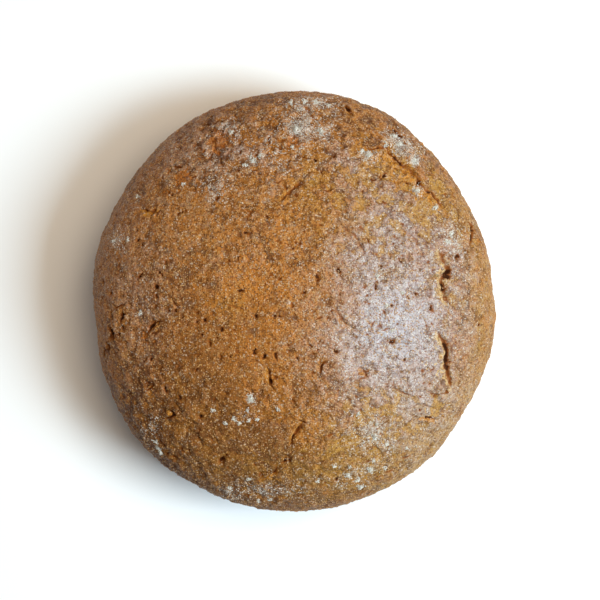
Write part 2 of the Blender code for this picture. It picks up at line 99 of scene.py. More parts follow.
class Profile:
    """The profile from the top of the loaf to the rim of its base."""

    def __init__(self):
        angle = np.linspace(0.0, 0.5 * math.pi, PROFILE_STEPS + 1)
        sine = np.clip(np.sin(angle), 0.0, 1.0)
        cosine = np.clip(np.cos(angle), 0.0, 1.0)
        dome_radius = sine ** (2.0 / DOME_POWER)
        dome_height = RING_HEIGHT + (HEIGHT - RING_HEIGHT) * cosine ** (2.0 / DOME_POWER)
        under_radius = BASE_SHARE + (1.0 - BASE_SHARE) * cosine ** (2.0 / UNDER_POWER)
        under_height = RING_HEIGHT * (1.0 - sine ** (2.0 / UNDER_POWER))
        self.radius = MEAN_RADIUS * np.concatenate([dome_radius, under_radius[1:]])
        self.height = np.concatenate([dome_height, under_height[1:]])
        steps = np.hypot(np.diff(self.radius), np.diff(self.height))
        self.length = np.concatenate([[0.0], np.cumsum(steps)])
        middle = 0.5 * (self.radius[1:] + self.radius[:-1])
        growth = np.exp(np.cumsum(steps[1:] / middle[1:]))
        first = self.radius[1]
        self.plane_radius = np.concatenate([[0.0, first], first * growth])

    def place(self, length, azimuth):
        """Places on the smooth loaf for lengths along the profile."""
        radius = np.interp(length, self.length, self.radius) * outline_share(azimuth)
        height = np.interp(length, self.length, self.height)
        return np.column_stack([radius * np.cos(azimuth), radius * np.sin(azimuth), height])

    def nearest_length(self, places):
        """Length along the profile, and azimuth, of places near the surface."""
        azimuth = np.arctan2(places[:, 1], places[:, 0])
        radius = np.hypot(places[:, 0], places[:, 1]) / outline_share(azimuth)
        length = np.zeros(len(places))
        for start in range(0, len(places), SEARCH_BATCH):
            part = slice(start, start + SEARCH_BATCH)
            across = radius[part, None] - self.radius[None, :]
            upright = places[part, 2][:, None] - self.height[None, :]
            length[part] = self.length[np.argmin(across ** 2 + upright ** 2, axis=1)]
        return length, azimuth

    def normals(self, length, azimuth):
        """Outward unit normals of the smooth loaf."""
        inner = np.clip(length - NORMAL_STEP, 0.0, self.length[-1])
        outer = np.clip(length + NORMAL_STEP, 0.0, self.length[-1])
        along = self.place(outer, azimuth) - self.place(inner, azimuth)
        ahead = self.place(length, azimuth + NORMAL_TURN)
        around = ahead - self.place(length, azimuth - NORMAL_TURN)
        normal = np.cross(along, around)
        size = np.linalg.norm(normal, axis=1, keepdims=True)
        return np.where(size > TINY, normal / np.maximum(size, TINY), [0.0, 0.0, 1.0])

    def on_top(self, x, y):
        """The place of the smooth upper crust above one plan place."""
        azimuth = np.array([math.atan2(y, x)])
        share = math.hypot(x, y) / (MEAN_RADIUS * outline_share(azimuth)[0])
        rise = (1.0 - min(share, RIM_SHARE) ** DOME_POWER) ** (1.0 / DOME_POWER)
        return np.array([x, y, RING_HEIGHT + (HEIGHT - RING_HEIGHT) * rise])

    def on_side(self, azimuth_degrees, height):
        """The place of the smooth side at one azimuth and height."""
        azimuth = np.array([math.radians(azimuth_degrees)])
        length = np.interp(-height, -self.height, self.length)
        return self.place(np.array([length]), azimuth)[0]


profile = Profile()
print("length from the top to the rim in mm:", round(profile.length[-1] / MM, 1))

# %% [markdown]
# ## Marks of the bake
# Rye dough has little skin strength, so the crust tears in short jagged lines
# as the loaf springs in the oven.  One wall of a tear stands steep, with painted
# shade on it, and the other lies open as a golden bed.  Where the skin only
# folded, a shallow line stays pale.  Bubbles that burst leave pits, their
# middles painted dark as shade, and thin skin flakes off in patches.  A
# sculpted mesh could hold such marks too, but nobody could move one afterwards.
# So each kind is a small table in plan millimetres from the middle, and a mark
# is easy to find on the photograph.

# %% Soft dents and swellings
# Plan x, y, radius, depth; below zero it swells
DENTS = (
    (-63, -50, 8, 1.3), (-72, -10, 9, 0.9), (-11, -37, 5, 0.8), (38, -34, 7, 0.9),
    (27, -24, 6, 0.7), (50, 62, 9, 1.1), (58, 72, 8, -1.2), (80, 12, 10, -1), (66, 14, 8, -0.8),
    (84, -30, 9, -0.9), (22, 8, 8, -0.6), (45, 30, 9, 0.6), (-2, 54, 8, 0.8), (66, -62, 7, 1),
    (2, -66, 6, 0.8), (-40, 70, 10, 0.8), (-30, 0, 4, -0.7),
)
print("dents and swellings:", len(DENTS))

# %% Tears of the upper crust
# Places, depth, width of the steep left wall, width of the right bed, lip
TEARS = (
    # Upper right, with a wide bed towards the middle
    (((35, 77), (38, 75.5), (45.8, 76.6), (47.2, 75), (48.8, 72.2),
      (54, 68.3), (59.2, 64.9), (61.7, 61.7), (62.7, 58.8), (65.1, 56.1),
      (70.7, 52.8), (75.2, 47.2)), 2.3, 1.2, 4.6, 0.8),
    # Right, upper length and its short branch
    (((71, 24.5), (73, 21), (76, 16.5), (75, 14), (72, 11),
      (73, 7.5), (74, 5.5), (75, 0.5)), 3, 1.7, 2.6, 0.6),
    (((68, -1), (66, -4)), 1.4, 1.2, 1.2, 0.3),
    # Right, lower length
    (((71, -15), (74, -19), (76.2, -23.5), (75.5, -31),
      (77, -35.5), (78, -41.5)), 2.7, 1.3, 2.6, 0.5),
    # Right edge
    (((89.6, 40.5), (89.4, 35), (88, 28.5)), 1.9, 3, 1.6, 0.3),
    (((79.5, 55), (82, 51)), 1.6, 1.2, 1.2, 0.4),
    # Upper edge
    (((48.5, 88), (50, 87), (53.5, 83.5), (54.5, 82)), 1.7, 1.1, 1.4, 0.4),
    (((26, 98.5), (30, 93)), 1.8, 1.2, 1.6, 0.4),
    (((5.5, 97.5), (10.5, 89.5)), 1, 1.6, 1.6, 0.3),
    # Upper left
    (((-74, 46), (-69.5, 44.5), (-67, 45.5)), 1.7, 1.2, 2.4, 0.4),
    (((-59, 67), (-54.5, 67.5)), 1.4, 1.1, 1.4, 0.3),
    # Left
    (((-75.5, 11.5), (-73, 14.5)), 1.7, 1.2, 1.4, 0.3),
    (((-87, -3), (-82, -0.5)), 1.7, 1.2, 1.4, 0.3),
    (((-83.6, -4.8), (-84.2, -9.8)), 2.4, 2.4, 0.9, 0.3),
    (((-90.4, -12), (-88.8, -15), (-90, -18.6)), 2.4, 2.6, 0.9, 0.3),
    (((-91, -20.6), (-91.2, -24.4)), 2.2, 2.4, 0.9, 0.3),
    (((-94, -23), (-94.5, -27)), 1.8, 2, 0.9, 0.3),
    (((-71.5, -15.5), (-69, -12), (-67, -9.5), (-64, -9)), 1.6, 1.2, 1.6, 0.4),
    # Rim of the hollow low on the left
    (((-62, -52), (-57.5, -55), (-61.5, -57)), 1.7, 1.2, 1.6, 0.4),
    # Lower middle
    (((4.5, -58.5), (2.5, -61), (0, -65.5), (-1, -70)), 1.6, 1.2, 1.4, 0.4),
    (((-16.5, -87.5), (-14.5, -85), (-8.5, -84), (-8, -81)), 1.9, 1.2, 1.6, 0.5),
    (((15.5, -27.5), (13.5, -30.5), (13, -34)), 1.4, 1.1, 1.4, 0.4),
    (((-12, -31), (-11, -35.5), (-11, -39.5), (-8.5, -42)), 1.4, 1.2, 1.6, 0.3),
    (((32, -31), (34, -32.5), (36, -36)), 1.4, 1.2, 1.6, 0.4),
    # Lower right
    (((62, -57.5), (65, -56.5), (72, -58.5)), 1.6, 1.2, 1.8, 0.5),
    (((59, -75.5), (53.5, -78)), 1.5, 1.1, 1.5, 0.4),
    # Right of the middle, shallow curved creases
    (((24, 36), (31, 31), (35, 22)), 0.9, 1.4, 1.6, 0.3),
    (((52, 36), (60, 30), (63, 22)), 0.8, 1.4, 1.6, 0.3),
    (((20, -2), (24, -9), (31, -14)), 0.9, 1.4, 1.6, 0.3),
    # Above the middle, a shallow slanting fold
    (((5, 59.5), (2, 57), (-2.5, 53), (-5.5, 49)), 1, 1.8, 1.8, 0.3),
)
print("tears of the top:", len(TEARS))

# %% Pale folds of the skin
# Like a shallow tear with a cream bed: places, depth, left, right, lip
FOLDS = (
    (((-33, -1), (-29, -1.5), (-25, -3.5)), 0.8, 0.8, 1.4, 0.5),
    (((-36, 3), (-32.5, 2)), 0.7, 0.8, 1.2, 0.4),
    (((48, -41), (53, -44), (60, -47)), 1, 1, 1.8, 0.5),
    (((56, -52), (63, -50), (70, -52.5)), 1, 1, 1.6, 0.5),
    (((66, -44), (72, -46), (76, -44)), 0.9, 1, 1.6, 0.4),
    (((40, -88), (48, -84), (56, -79)), 0.9, 1, 1.4, 0.4),
    (((30, -80), (39, -77.5), (47, -73)), 0.8, 1, 1.4, 0.4),
    (((80, -31), (83, -36), (82, -41)), 0.9, 1, 1.6, 0.4),
    (((77.5, 23.5), (80, 27), (81.5, 33), (81.5, 38)), 0.6, 1.2, 2.6, 0.2),
    (((28, 40), (34, 38), (38, 40)), 0.8, 0.9, 1.4, 0.4),
    (((12, 58), (18, 60), (22, 58.5)), 0.8, 0.9, 1.4, 0.4),
    (((-4, 66), (2, 64), (6, 66)), 0.8, 0.9, 1.2, 0.4),
)
print("folds:", len(FOLDS))

# %% Tears of the side, below the widest ring
# Azimuths in degrees and heights, then the same four sizes
SIDE_TEARS = (
    (((11, 22), (16, 25.5), (21, 24.5), (26, 27), (31, 23.5)), 1.8, 2.2, 2.8, 0.6),
    (((72, 20), (78, 24), (84, 22.5)), 1.5, 1.8, 2.4, 0.5),
    (((140, 27), (146, 23), (152, 24.5), (158, 20.5)), 1.8, 2, 2.6, 0.5),
    (((204, 22.5), (210, 27), (216, 25), (221, 21.5)), 1.7, 2, 2.6, 0.5),
    (((263, 21), (269, 25), (274, 24)), 1.5, 1.8, 2.4, 0.5),
    (((319, 25.5), (325, 21), (331, 23.5), (338, 20.5)), 1.8, 2.2, 2.6, 0.5),
)
print("tears of the side:", len(SIDE_TEARS))

# %% Pits and flaked patches
# Plan x, y, radius, depth
PITS = (
    (45, 62.5, 2.2, 1.6), (11, 69, 1.5, 1.3), (14, 63.5, 1.2, 0.9), (-12.5, 41.5, 1.5, 1.3),
    (-23, 33.5, 1.4, 1.1), (1.5, 29, 1.4, 1.1), (12, 12, 1.4, 1.1), (21.5, 15, 1.6, 1.3),
    (-17.5, -6.5, 1.5, 1.2), (-8.5, -6.5, 1.4, 1.1), (-24.5, 6, 1.4, 1.1), (-42.5, -8, 1.5, 1.3),
    (-34, -13.5, 1.4, 1.1), (-43.5, -15.5, 1.2, 0.9), (-76.5, 35.5, 1.5, 1.3),
    (-76, 30.5, 1.4, 1.2), (-64.5, 14.5, 1.5, 1.2), (-66.5, 7, 1.5, 1.3), (-60, -4, 1.7, 1.3),
    (-59.5, 53, 1.4, 1.1), (-69.5, -28, 1.5, 1.2), (-62.5, -42, 1.5, 1.2), (-55, -47, 1.5, 1.2),
    (-30, -26.5, 1.3, 1), (-14.5, -61, 1.3, 1), (-35.5, -77, 1.6, 1.3), (-4, -78, 1.7, 1.3),
    (13, -18.5, 1.5, 1.2), (-28, -96.5, 1.5, 1.2), (-18.5, -24.5, 1.5, 1.3), (-13.5, -25, 1.4, 1.1),
    (-8, -24.5, 1.8, 1.5), (-46, -66.5, 1.9, 1.4), (-65, -69.5, 1.5, 1.3), (-63, -75.5, 1.5, 1.3),
    (-83.5, -7.5, 1.9, 1.4), (-85, -15.5, 1.7, 1.4), (-91, -22, 1.6, 1.3), (86.5, 25, 1.6, 1.3),
    (80.5, 22.5, 1.7, 1.4), (92, -11, 1.6, 1.3), (68.5, -72, 1.5, 1.2), (62.5, -53, 1.5, 1.2),
    (21, -23.5, 1.4, 1.2), (21.5, -87.5, 1.4, 1.1), (32, -94.5, 1.4, 1.1), (-45, -55.5, 1.4, 1.1),
    (77, -0.5, 1.3, 1), (42.5, 17.5, 1.3, 1), (40, 6.5, 1.3, 1), (59.5, 4, 1.4, 1.1),
    (47.5, -1.5, 1.2, 0.9), (48, -19, 1.3, 1), (52, 20, 1.3, 1),
)
FLAKED = (
    (-36.5, 80, 4.6, 1.3), (0.6, 79, 2.8, 0.7), (93, 30.5, 2.6, 0.8), (-72, -16.5, 2, 0.6),
    (32.2, 46, 2.6, 0.6), (54, 59, 4, 0.7), (-55, 61, 3.4, 0.6), (71, -52, 3.6, 0.7),
)
PIT_NARROWING = 0.75         # the solid's coarser mesh needs wider pits
WALL_NARROWING = 0.70        # and wider steep walls of the tears
PALE_BEDS_FROM = 65.0 * MM   # right of here the beds are cream rather than gold
print("pits and patches of the top:", len(PITS), len(FLAKED))

# %% [markdown]
# ## How a mark moves the crust
# Every mark answers one question for all places of the mesh at once: how far
# does it push each place along the normal?  A tear measures the distance to
# its line and which side of it a place is on.  Its width wavers with a noise,
# which gives the jagged edge that the photograph shows.  It also returns masks
# that the material uses later: the painted shade of the steep wall and the
# golden bed.

# %% Noise over many places
def noise_at(places, size, shift=0.0, offset=None):
    """Smooth noise from about minus one to one, with features of one size."""
    if offset is None:
        offset = Vector((shift + 3.1, 7.7 - shift, 1.3 * shift - 3.9))
    return np.array([noise.noise(Vector(place) / size + offset) for place in places])


def noises_at(places, layers):
    """A sum of noises, each with its size, share and shift."""
    return sum(share * noise_at(places, size, shift) for size, share, shift in layers)


def unit(vector):
    """The vector at length one."""
    return vector / np.linalg.norm(vector)


def smooth_step(low, high, value):
    """Nought below low, one above high, and a smooth rise between."""
    share = np.clip((value - low) / (high - low), 0.0, 1.0)
    return share * share * (3.0 - 2.0 * share)


def raise_mask(mask, near, values):
    """Lift a mask where the values are higher."""
    mask[near] = np.maximum(mask[near], values)


print("smooth step at a quarter:", smooth_step(0.0, 1.0, 0.25))

# %% A tear
WAVER_SHARE = 1.1            # how far the noise moves the edge of a mark
FULL_TEAR = 1.8 * MM         # tears this deep show their full colours
WIDE_BED = 2.4 * MM          # beds this wide show their own colour, narrow ones hardly
NARROW_BED = 0.2
WALL_PATCHES = 5.0 * MM      # the dark of a wall comes and goes at this size
WALL_PATCH_SHIFT = 71.0
WALL_POWER = 0.85
REACH_IN_WIDTHS = 4.0

# Distances from the line in widths of the tear
LIP_MIDDLE = 1.5
LIP_SPREAD = 0.55
DARK_FADE = (0.95, 0.45)
BED_FADE = (1.9, 0.9)


class Tear:
    """A line on the surface with a steep left wall and a sloping right bed."""

    def __init__(self, line, depth, left, right, lip, bed_mask="bed"):
        self.line = np.array(line)
        self.depth = depth * MM
        self.left = left * MM
        self.right = right * MM
        self.lip = lip * MM
        self.bed_mask = bed_mask
        length, azimuth = profile.nearest_length(self.line)
        self.normal = profile.normals(length, azimuth)
        steps = np.linalg.norm(np.diff(self.line, axis=0), axis=1)
        self.along = np.concatenate([[0.0], np.cumsum(steps)])

    def taper(self, share):
        """One in the middle of the tear and a small share at its ends."""
        return 0.3 + 0.7 * np.sqrt(np.clip(4.0 * share * (1.0 - share), 0.0, 1.0))

    def measure(self, places):
        """Distance to the line, side of it, and share of the way along it."""
        best = np.full(len(places), 1e9)
        side = np.zeros(len(places))
        share = np.zeros(len(places))
        for index in range(len(self.line) - 1):
            start = self.line[index]
            step = self.line[index + 1] - start
            reach = places - start
            part = np.clip(reach @ step / (step @ step), 0.0, 1.0)
            away = reach - part[:, None] * step
            distance = np.linalg.norm(away, axis=1)
            left_way = np.cross(unit(self.normal[index] + self.normal[index + 1]), unit(step))
            closer = distance < best
            best = np.where(closer, distance, best)
            side = np.where(closer, np.sign(away @ left_way), side)
            here = self.along[index] + part * np.linalg.norm(step)
            share = np.where(closer, here / self.along[-1], share)
        return best, side, share

    def apply(self, places, waver, push, masks):
        """Add this tear to the push along the normal and to the masks."""
        reach = REACH_IN_WIDTHS * max(self.left, self.right)
        low = self.line.min(axis=0) - reach
        high = self.line.max(axis=0) + reach
        near = np.nonzero(np.all((places > low) & (places < high), axis=1))[0]
        distance, side, share = self.measure(places[near])
        on_left = side >= 0.0
        taper = self.taper(share)
        narrowing = 0.5 + 0.5 * taper
        jagged = 1.0 + WAVER_SHARE * waver[near]
        width = np.where(on_left, self.left, self.right) * narrowing
        ratio = distance / width * jagged + 0.3 * np.abs(waver[near])
        wall = -self.depth * taper * np.clip(1.0 - ratio, 0.0, 1.0) ** WALL_POWER
        lip = self.lip * taper * np.exp(-((ratio - LIP_MIDDLE) / LIP_SPREAD) ** 2)
        push[near] += wall + lip
        # The dark of the steep wall is painted shade
        strength = min(1.0, self.depth / FULL_TEAR) * taper
        wall_ratio = distance / (self.left * narrowing) * jagged
        steep = strength * smooth_step(*DARK_FADE, np.where(on_left, wall_ratio, 1.5 * wall_ratio))
        patches = 0.90 + 1.2 * noise_at(places[near], WALL_PATCHES, WALL_PATCH_SHIFT)
        steep = steep * np.clip(patches, 0.40, 1.0)
        bed = np.sqrt(strength) * smooth_step(*BED_FADE, ratio) * np.where(on_left, 0.5, 1.0)
        bed = bed * min(1.0, max(NARROW_BED, self.right / WIDE_BED))
        raise_mask(masks["dark"], near, steep)
        raise_mask(masks[self.bed_mask], near, bed)

    def at(self, values, step):
        """The line's places or normals, one step of the way along it."""
        return np.array([np.interp(step, self.along, values[:, axis]) for axis in range(3)])

    def rows(self, step_length, offsets):
        """Places of the mesh in rows along the tear."""
        count = max(3, int(round(self.along[-1] / step_length)) + 1)
        places = []
        for step in np.linspace(0.0, self.along[-1], count):
            centre = self.at(self.line, step)
            front = self.at(self.line, min(step + MM, self.along[-1]))
            back = self.at(self.line, max(step - MM, 0.0))
            left_way = unit(np.cross(unit(self.at(self.normal, step)), front - back))
            width = 0.5 + 0.5 * self.taper(step / self.along[-1])
            for offset in offsets:
                reach = self.left if offset > 0.0 else self.right
                places.append(centre + left_way * reach * width * offset)
        return places


# %% A pit, a flaked patch or a dent
DARK_PIT = 1.1 * MM          # pits this deep are fully dark
PIT_FADE = (0.85, 0.35)      # where the dark ends and is full, in radii
PATCH_EDGE = 1.25
PATCH_SLOPE = 0.3
REACH_IN_RADII = 3.2
ANY_WAY = (0.3, 0.5, 0.8)    # off the normal, to start a ring from


class Hollow:
    """A round mark with a soft, flat or bowl shaped floor."""

    def __init__(self, centre, radius, depth, edge):
        self.centre = np.array(centre)
        length, azimuth = profile.nearest_length(self.centre[None, :])
        self.normal = profile.normals(length, azimuth)[0]
        self.radius = radius * MM
        self.depth = depth * MM
        self.edge = edge

    def apply(self, places, waver, push, masks):
        """Add this hollow to the push along the normal and to the masks."""
        reach = REACH_IN_RADII * self.radius
        near = np.nonzero(np.all(np.abs(places - self.centre) < reach, axis=1))[0]
        ratio = np.linalg.norm(places[near] - self.centre, axis=1) / self.radius
        if self.edge == "soft":
            push[near] -= self.depth * np.exp(-ratio ** 2)
            return
        ratio = ratio * (1.0 + WAVER_SHARE * waver[near])
        if self.edge == "flat":
            inside = np.clip((PATCH_EDGE - ratio) / PATCH_SLOPE, 0.0, 1.0)
            push[near] -= self.depth * inside
            raise_mask(masks["flaked"], near, inside)
            return
        push[near] -= self.depth * np.clip(1.0 - ratio ** 2, 0.0, 1.0)
        # The dark middle of a pit is painted shade
        darkest = min(1.0, self.depth / DARK_PIT)
        raise_mask(masks["dark"], near, darkest * smooth_step(*PIT_FADE, ratio))

    def ring(self, share, count, turn):
        """Places of the mesh on a ring round the centre."""
        across = unit(np.cross(self.normal, ANY_WAY))
        other = np.cross(self.normal, across)
        places = []
        for index in range(count):
            angle = turn + FULL_TURN * index / count
            way = math.cos(angle) * across + math.sin(angle) * other
            places.append(self.centre + way * self.radius * share)
        return places


# %% [markdown]
# ## Small pores and creases
# Between the large marks the skin is dotted with pores no wider than a grain
# of rice is thick, and crossed by creases a few millimetres long.  They follow
# no plan, so seeded draws place them.  The pores crowd together right of the
# middle, where the skin is coarsest, and thin out towards the shoulder.

# %% Seeded small pores
PLAN_REACH = 101.0                 # mm
SMALL_PORE_COUNT = 330
SMALL_PORE_SEED = 5
SMALL_PORE_RADII = (0.45, 1.05)
SMALL_PORE_DEPTHS = (0.6, 0.95)    # in radii of the pore
COARSE_SKIN = (36.0, 2.0)          # middle of the coarse skin in plan mm
COARSE_SKIN_RADIUS = 40.0
LEAST_CHANCE = 0.35                # of a pore far from the coarse skin


def plan_draw(chance):
    """One random plan place on the upper crust, in mm."""
    azimuth = chance.uniform(0.0, FULL_TURN)
    reach = PLAN_REACH * math.sqrt(chance.uniform(0.0, 1.0))
    return reach * math.cos(azimuth), reach * math.sin(azimuth)


def small_pores():
    """Pores drawn more often near the coarse skin."""
    chance = random.Random(SMALL_PORE_SEED)
    pores = []
    while len(pores) < SMALL_PORE_COUNT:
        x, y = plan_draw(chance)
        away = math.hypot(x - COARSE_SKIN[0], y - COARSE_SKIN[1])
        nearness = math.exp(-(away / COARSE_SKIN_RADIUS) ** 2)
        wanted = LEAST_CHANCE + (1.0 - LEAST_CHANCE) * nearness
        if chance.random() > wanted:
            continue
        radius = chance.uniform(*SMALL_PORE_RADII)
        depth = radius * chance.uniform(*SMALL_PORE_DEPTHS)
        pores.append(Hollow(profile.on_top(x * MM, y * MM), radius, depth, "round"))
    return pores


# %% Seeded short creases
SMALL_CREASE_COUNT = 95
SMALL_CREASE_SEED = 17
SMALL_CREASE_LENGTHS = (2.0, 5.5)
SMALL_CREASE_DEPTHS = (0.6, 1.5)
SMALL_CREASE_SIDES = (0.6, 1.0, 0.25)    # left wall, right bed, lip
SMALL_CREASE_REACH = 93.0
SMALL_CREASE_BEND = 0.3                  # at most, in lengths of the crease


def on_crust(line):
    """Plan places in mm, put on the smooth upper crust."""
    return [profile.on_top(x * MM, y * MM) for x, y in line]


def small_creases():
    """Short shallow tears that bend once, all over the upper crust."""
    chance = random.Random(SMALL_CREASE_SEED)
    creases = []
    while len(creases) < SMALL_CREASE_COUNT:
        x, y = plan_draw(chance)
        if math.hypot(x, y) > SMALL_CREASE_REACH:
            continue
        turn = chance.uniform(0.0, FULL_TURN)
        length = chance.uniform(*SMALL_CREASE_LENGTHS)
        bend = chance.uniform(-SMALL_CREASE_BEND, SMALL_CREASE_BEND) * length
        across = (0.5 * length * math.cos(turn), 0.5 * length * math.sin(turn))
        middle = (x - bend * math.sin(turn), y + bend * math.cos(turn))
        line = ((x - across[0], y - across[1]), middle, (x + across[0], y + across[1]))
        depth = chance.uniform(*SMALL_CREASE_DEPTHS)
        creases.append(Tear(on_crust(line), depth, *SMALL_CREASE_SIDES))
    return creases


# %% Seeded pits of the side
SIDE_PIT_COUNT = 26
SIDE_PIT_SEED = 11
SIDE_PIT_HEIGHTS = (12.0, 42.0)
SIDE_PIT_RADII = (1.5, 2.1)
SIDE_PIT_DEPTHS = (1.0, 1.4)


def side_pits():
    """Pits low on the side, as in the solid."""
    chance = random.Random(SIDE_PIT_SEED)
    pits = []
    for _ in range(SIDE_PIT_COUNT):
        azimuth = chance.uniform(0.0, 360.0)
        height = chance.uniform(*SIDE_PIT_HEIGHTS) * MM
        radius = chance.uniform(*SIDE_PIT_RADII)
        depth = chance.uniform(*SIDE_PIT_DEPTHS)
        pits.append(Hollow(profile.on_side(azimuth, height), radius, depth, "round"))
    return pits


# %% All marks together
def hollows(table, edge, narrowing=1.0):
    """The round marks of one table."""
    return [
        Hollow(profile.on_top(x * MM, y * MM), narrowing * radius, depth, edge)
        for x, y, radius, depth in table
    ]


tears = []
for line, depth, left, right, lip in TEARS:
    places = on_crust(line)
    if places[0][0] > PALE_BEDS_FROM:
        tears.append(Tear(places, depth, left, right, lip, "pale_bed"))
    else:
        tears.append(Tear(places, depth, WALL_NARROWING * left, right, lip))
for line, depth, left, right, lip in FOLDS:
    tears.append(Tear(on_crust(line), depth, left, right, lip, "fold"))
for line, depth, left, right, lip in SIDE_TEARS:
    places = [profile.on_side(azimuth, height * MM) for azimuth, height in line]
    tears.append(Tear(places, depth, WALL_NARROWING * left, right, lip))
tears = tears + small_creases()
pits = hollows(PITS, "round", PIT_NARROWING) + side_pits()
flaked = hollows(FLAKED, "flat")
dents = hollows(DENTS, "soft")
pores = small_pores()
print("tears, folds and creases:", len(tears))
print("pits, flaked patches and pores:", len(pits), len(flaked), len(pores))

# %% [markdown]
# ## The mesh of the crust
# A grid would crowd its lines at the pole, so the places follow a sunflower:
# each next place turns by the golden angle, and its distance from the top is
# the one that keeps the spacing even.  Rows of places run along the tears and
# rings lie round the pits, because an edge is only as crisp as its mesh.  A
# Delaunay triangulation joins them all in a flat plane where angles are the
# same as on the loaf, so that no long thin triangles appear.

# %% Places on the marks
TEAR_STEP = 0.6 * MM
TEAR_OFFSETS = (1.9, 1.2, 0.7, 0.3, 0.0, -0.2, -0.45, -0.75, -1.1, -1.5)
PIT_RINGS = ((0.5, 6), (0.95, 10), (1.3, 12))
PORE_RINGS = ((0.55, 5), (1.05, 8))
LEAST_GAP = 0.3 * MM


def search_tree(places):
    """A tree that finds the nearest of many places."""
    tree = KDTree(len(places))
    for number, place in enumerate(places):
        tree.insert(place, number)
    tree.balance()
    return tree


def mark_places():
    """Places along the tears and round the pits, none too near another."""
    wanted = []
    for tear in tears:
        wanted.extend(tear.rows(TEAR_STEP, TEAR_OFFSETS))
    for round_marks, rings in ((pits, PIT_RINGS), (pores, PORE_RINGS)):
        for mark in round_marks:
            wanted.append(mark.centre)
            for share, count in rings:
                wanted.extend(mark.ring(share, count, share))
    wanted = np.array(wanted)
    tree = search_tree(wanted)
    dropped = set()
    for number, place in enumerate(wanted):
        if number in dropped:
            continue
        for _, other, _ in tree.find_range(place, LEAST_GAP):
            if other > number:
                dropped.add(other)
    return np.array([place for number, place in enumerate(wanted) if number not in dropped])


marks = mark_places()
mark_length, mark_azimuth = profile.nearest_length(marks)
print("places on marks:", len(marks))

# %% Places between the marks
TOP_SPACING = 0.88 * MM
SIDE_SPACING = 1.7 * MM
CLEARANCE = 0.5 * MM
TRIANGLE_GRID = 0.866        # area for each place of an even grid, over its spacing squared
RIM_CLEARANCE = 0.55 * SIDE_SPACING
GOLDEN_ANGLE = math.pi * (3.0 - math.sqrt(5.0))


def background_places():
    """The sunflower, left open where the marks have their own places."""
    blend = np.clip((profile.height - 0.5 * RING_HEIGHT) / RING_HEIGHT, 0.0, 1.0)
    spacing = SIDE_SPACING + (TOP_SPACING - SIDE_SPACING) * blend
    density = FULL_TURN * profile.radius / (TRIANGLE_GRID * spacing ** 2)
    steps = np.diff(profile.length)
    counts = np.concatenate([[0.0], np.cumsum(0.5 * (density[1:] + density[:-1]) * steps)])
    index = np.arange(int(counts[-1])) + 0.5
    length = np.interp(index, counts, profile.length)
    azimuth = np.mod(index * GOLDEN_ANGLE, FULL_TURN)
    inside = length < profile.length[-1] - RIM_CLEARANCE
    length = length[inside]
    azimuth = azimuth[inside]
    tree = search_tree(marks)
    free = np.array([tree.find(place)[2] > CLEARANCE for place in profile.place(length, azimuth)])
    return length[free], azimuth[free]


back_length, back_azimuth = background_places()
print("places between the marks:", len(back_length))

# %% Triangles of the crust
RIM_PLACES = 300
SAME_PLACE = 1e-9


def round_plane(radius, azimuth):
    """Places in a plane from their radii and azimuths."""
    return np.column_stack([radius * np.cos(azimuth), radius * np.sin(azimuth)])


def flat_triangles(plane, border, kind):
    """Delaunay triangles of places in a plane, inside a border if one is given."""
    return delaunay_2d_cdt([Vector(place) for place in plane], [], border, kind, SAME_PLACE)[2]


rim_azimuth = np.arange(RIM_PLACES) * 2.0 * math.pi / RIM_PLACES
rim_length = np.full(RIM_PLACES, profile.length[-1])
crust_length = np.concatenate([rim_length, mark_length, back_length])
crust_azimuth = np.concatenate([rim_azimuth, mark_azimuth, back_azimuth])
plane_radius = np.interp(crust_length, profile.length, profile.plane_radius)
plane_radius = plane_radius / profile.plane_radius[-1]
crust_triangles = flat_triangles(round_plane(plane_radius, crust_azimuth), [], 0)
smooth_places = profile.place(crust_length, crust_azimuth)
smooth_normals = profile.normals(crust_length, crust_azimuth)
print("crust places:", len(smooth_places))

# %% [markdown]
# ## Relief
# Three sizes of lump come from the dough and are in the solid as well.  Three
# finer ones belong to the skin alone, and they grow stronger where the skin
# broke into scales.  Slanting wrinkles cross the skin low on the right.  All
# of it fades out just above the table, so the loaf still rests on a flat base.

# %% Where the skin is scaled, wrinkled or coarse
# Plan x, y, half width, half depth, strength
SCALED = (
    (52, 52, 34, 20, 1), (5, 76, 50, 22, 1), (34, 26, 22, 14, 0.55), (42, -8, 26, 26, 0.3),
    (76, 8, 12, 26, 0.55), (44, -56, 30, 24, 0.75), (-14, -84, 50, 20, 1), (-62, -56, 22, 22, 1.1),
    (-12, -52, 34, 10, 0.5), (-84, -8, 8, 20, 0.5), (-10, 30, 26, 26, 0.3),
)
WRINKLED = (
    (36, -32, 20, 20, 1), (50, 8, 16, 16, 0.4), (20, -62, 18, 16, 0.5),
)


def field(table, places):
    """Sum of soft spots, in plan, over the upper crust."""
    total = np.zeros(len(places))
    for x, y, wide, deep, strength in table:
        across = (places[:, 0] / MM - x) / wide
        along = (places[:, 1] / MM - y) / deep
        total = total + strength * np.exp(-(across ** 2 + along ** 2))
    return total


def coarse_skin(places):
    """One on the coarse skin and less away from it."""
    away = np.hypot(places[:, 0] / MM - COARSE_SKIN[0], places[:, 1] / MM - COARSE_SKIN[1])
    return np.exp(-(away / COARSE_SKIN_RADIUS) ** 2)


scaled = np.clip(field(SCALED, smooth_places), 0.0, 1.0)
skin_strength = 0.62 + 0.80 * scaled + 0.05 * coarse_skin(smooth_places)
print("mean strength of the skin's relief:", round(float(skin_strength.mean()), 2))

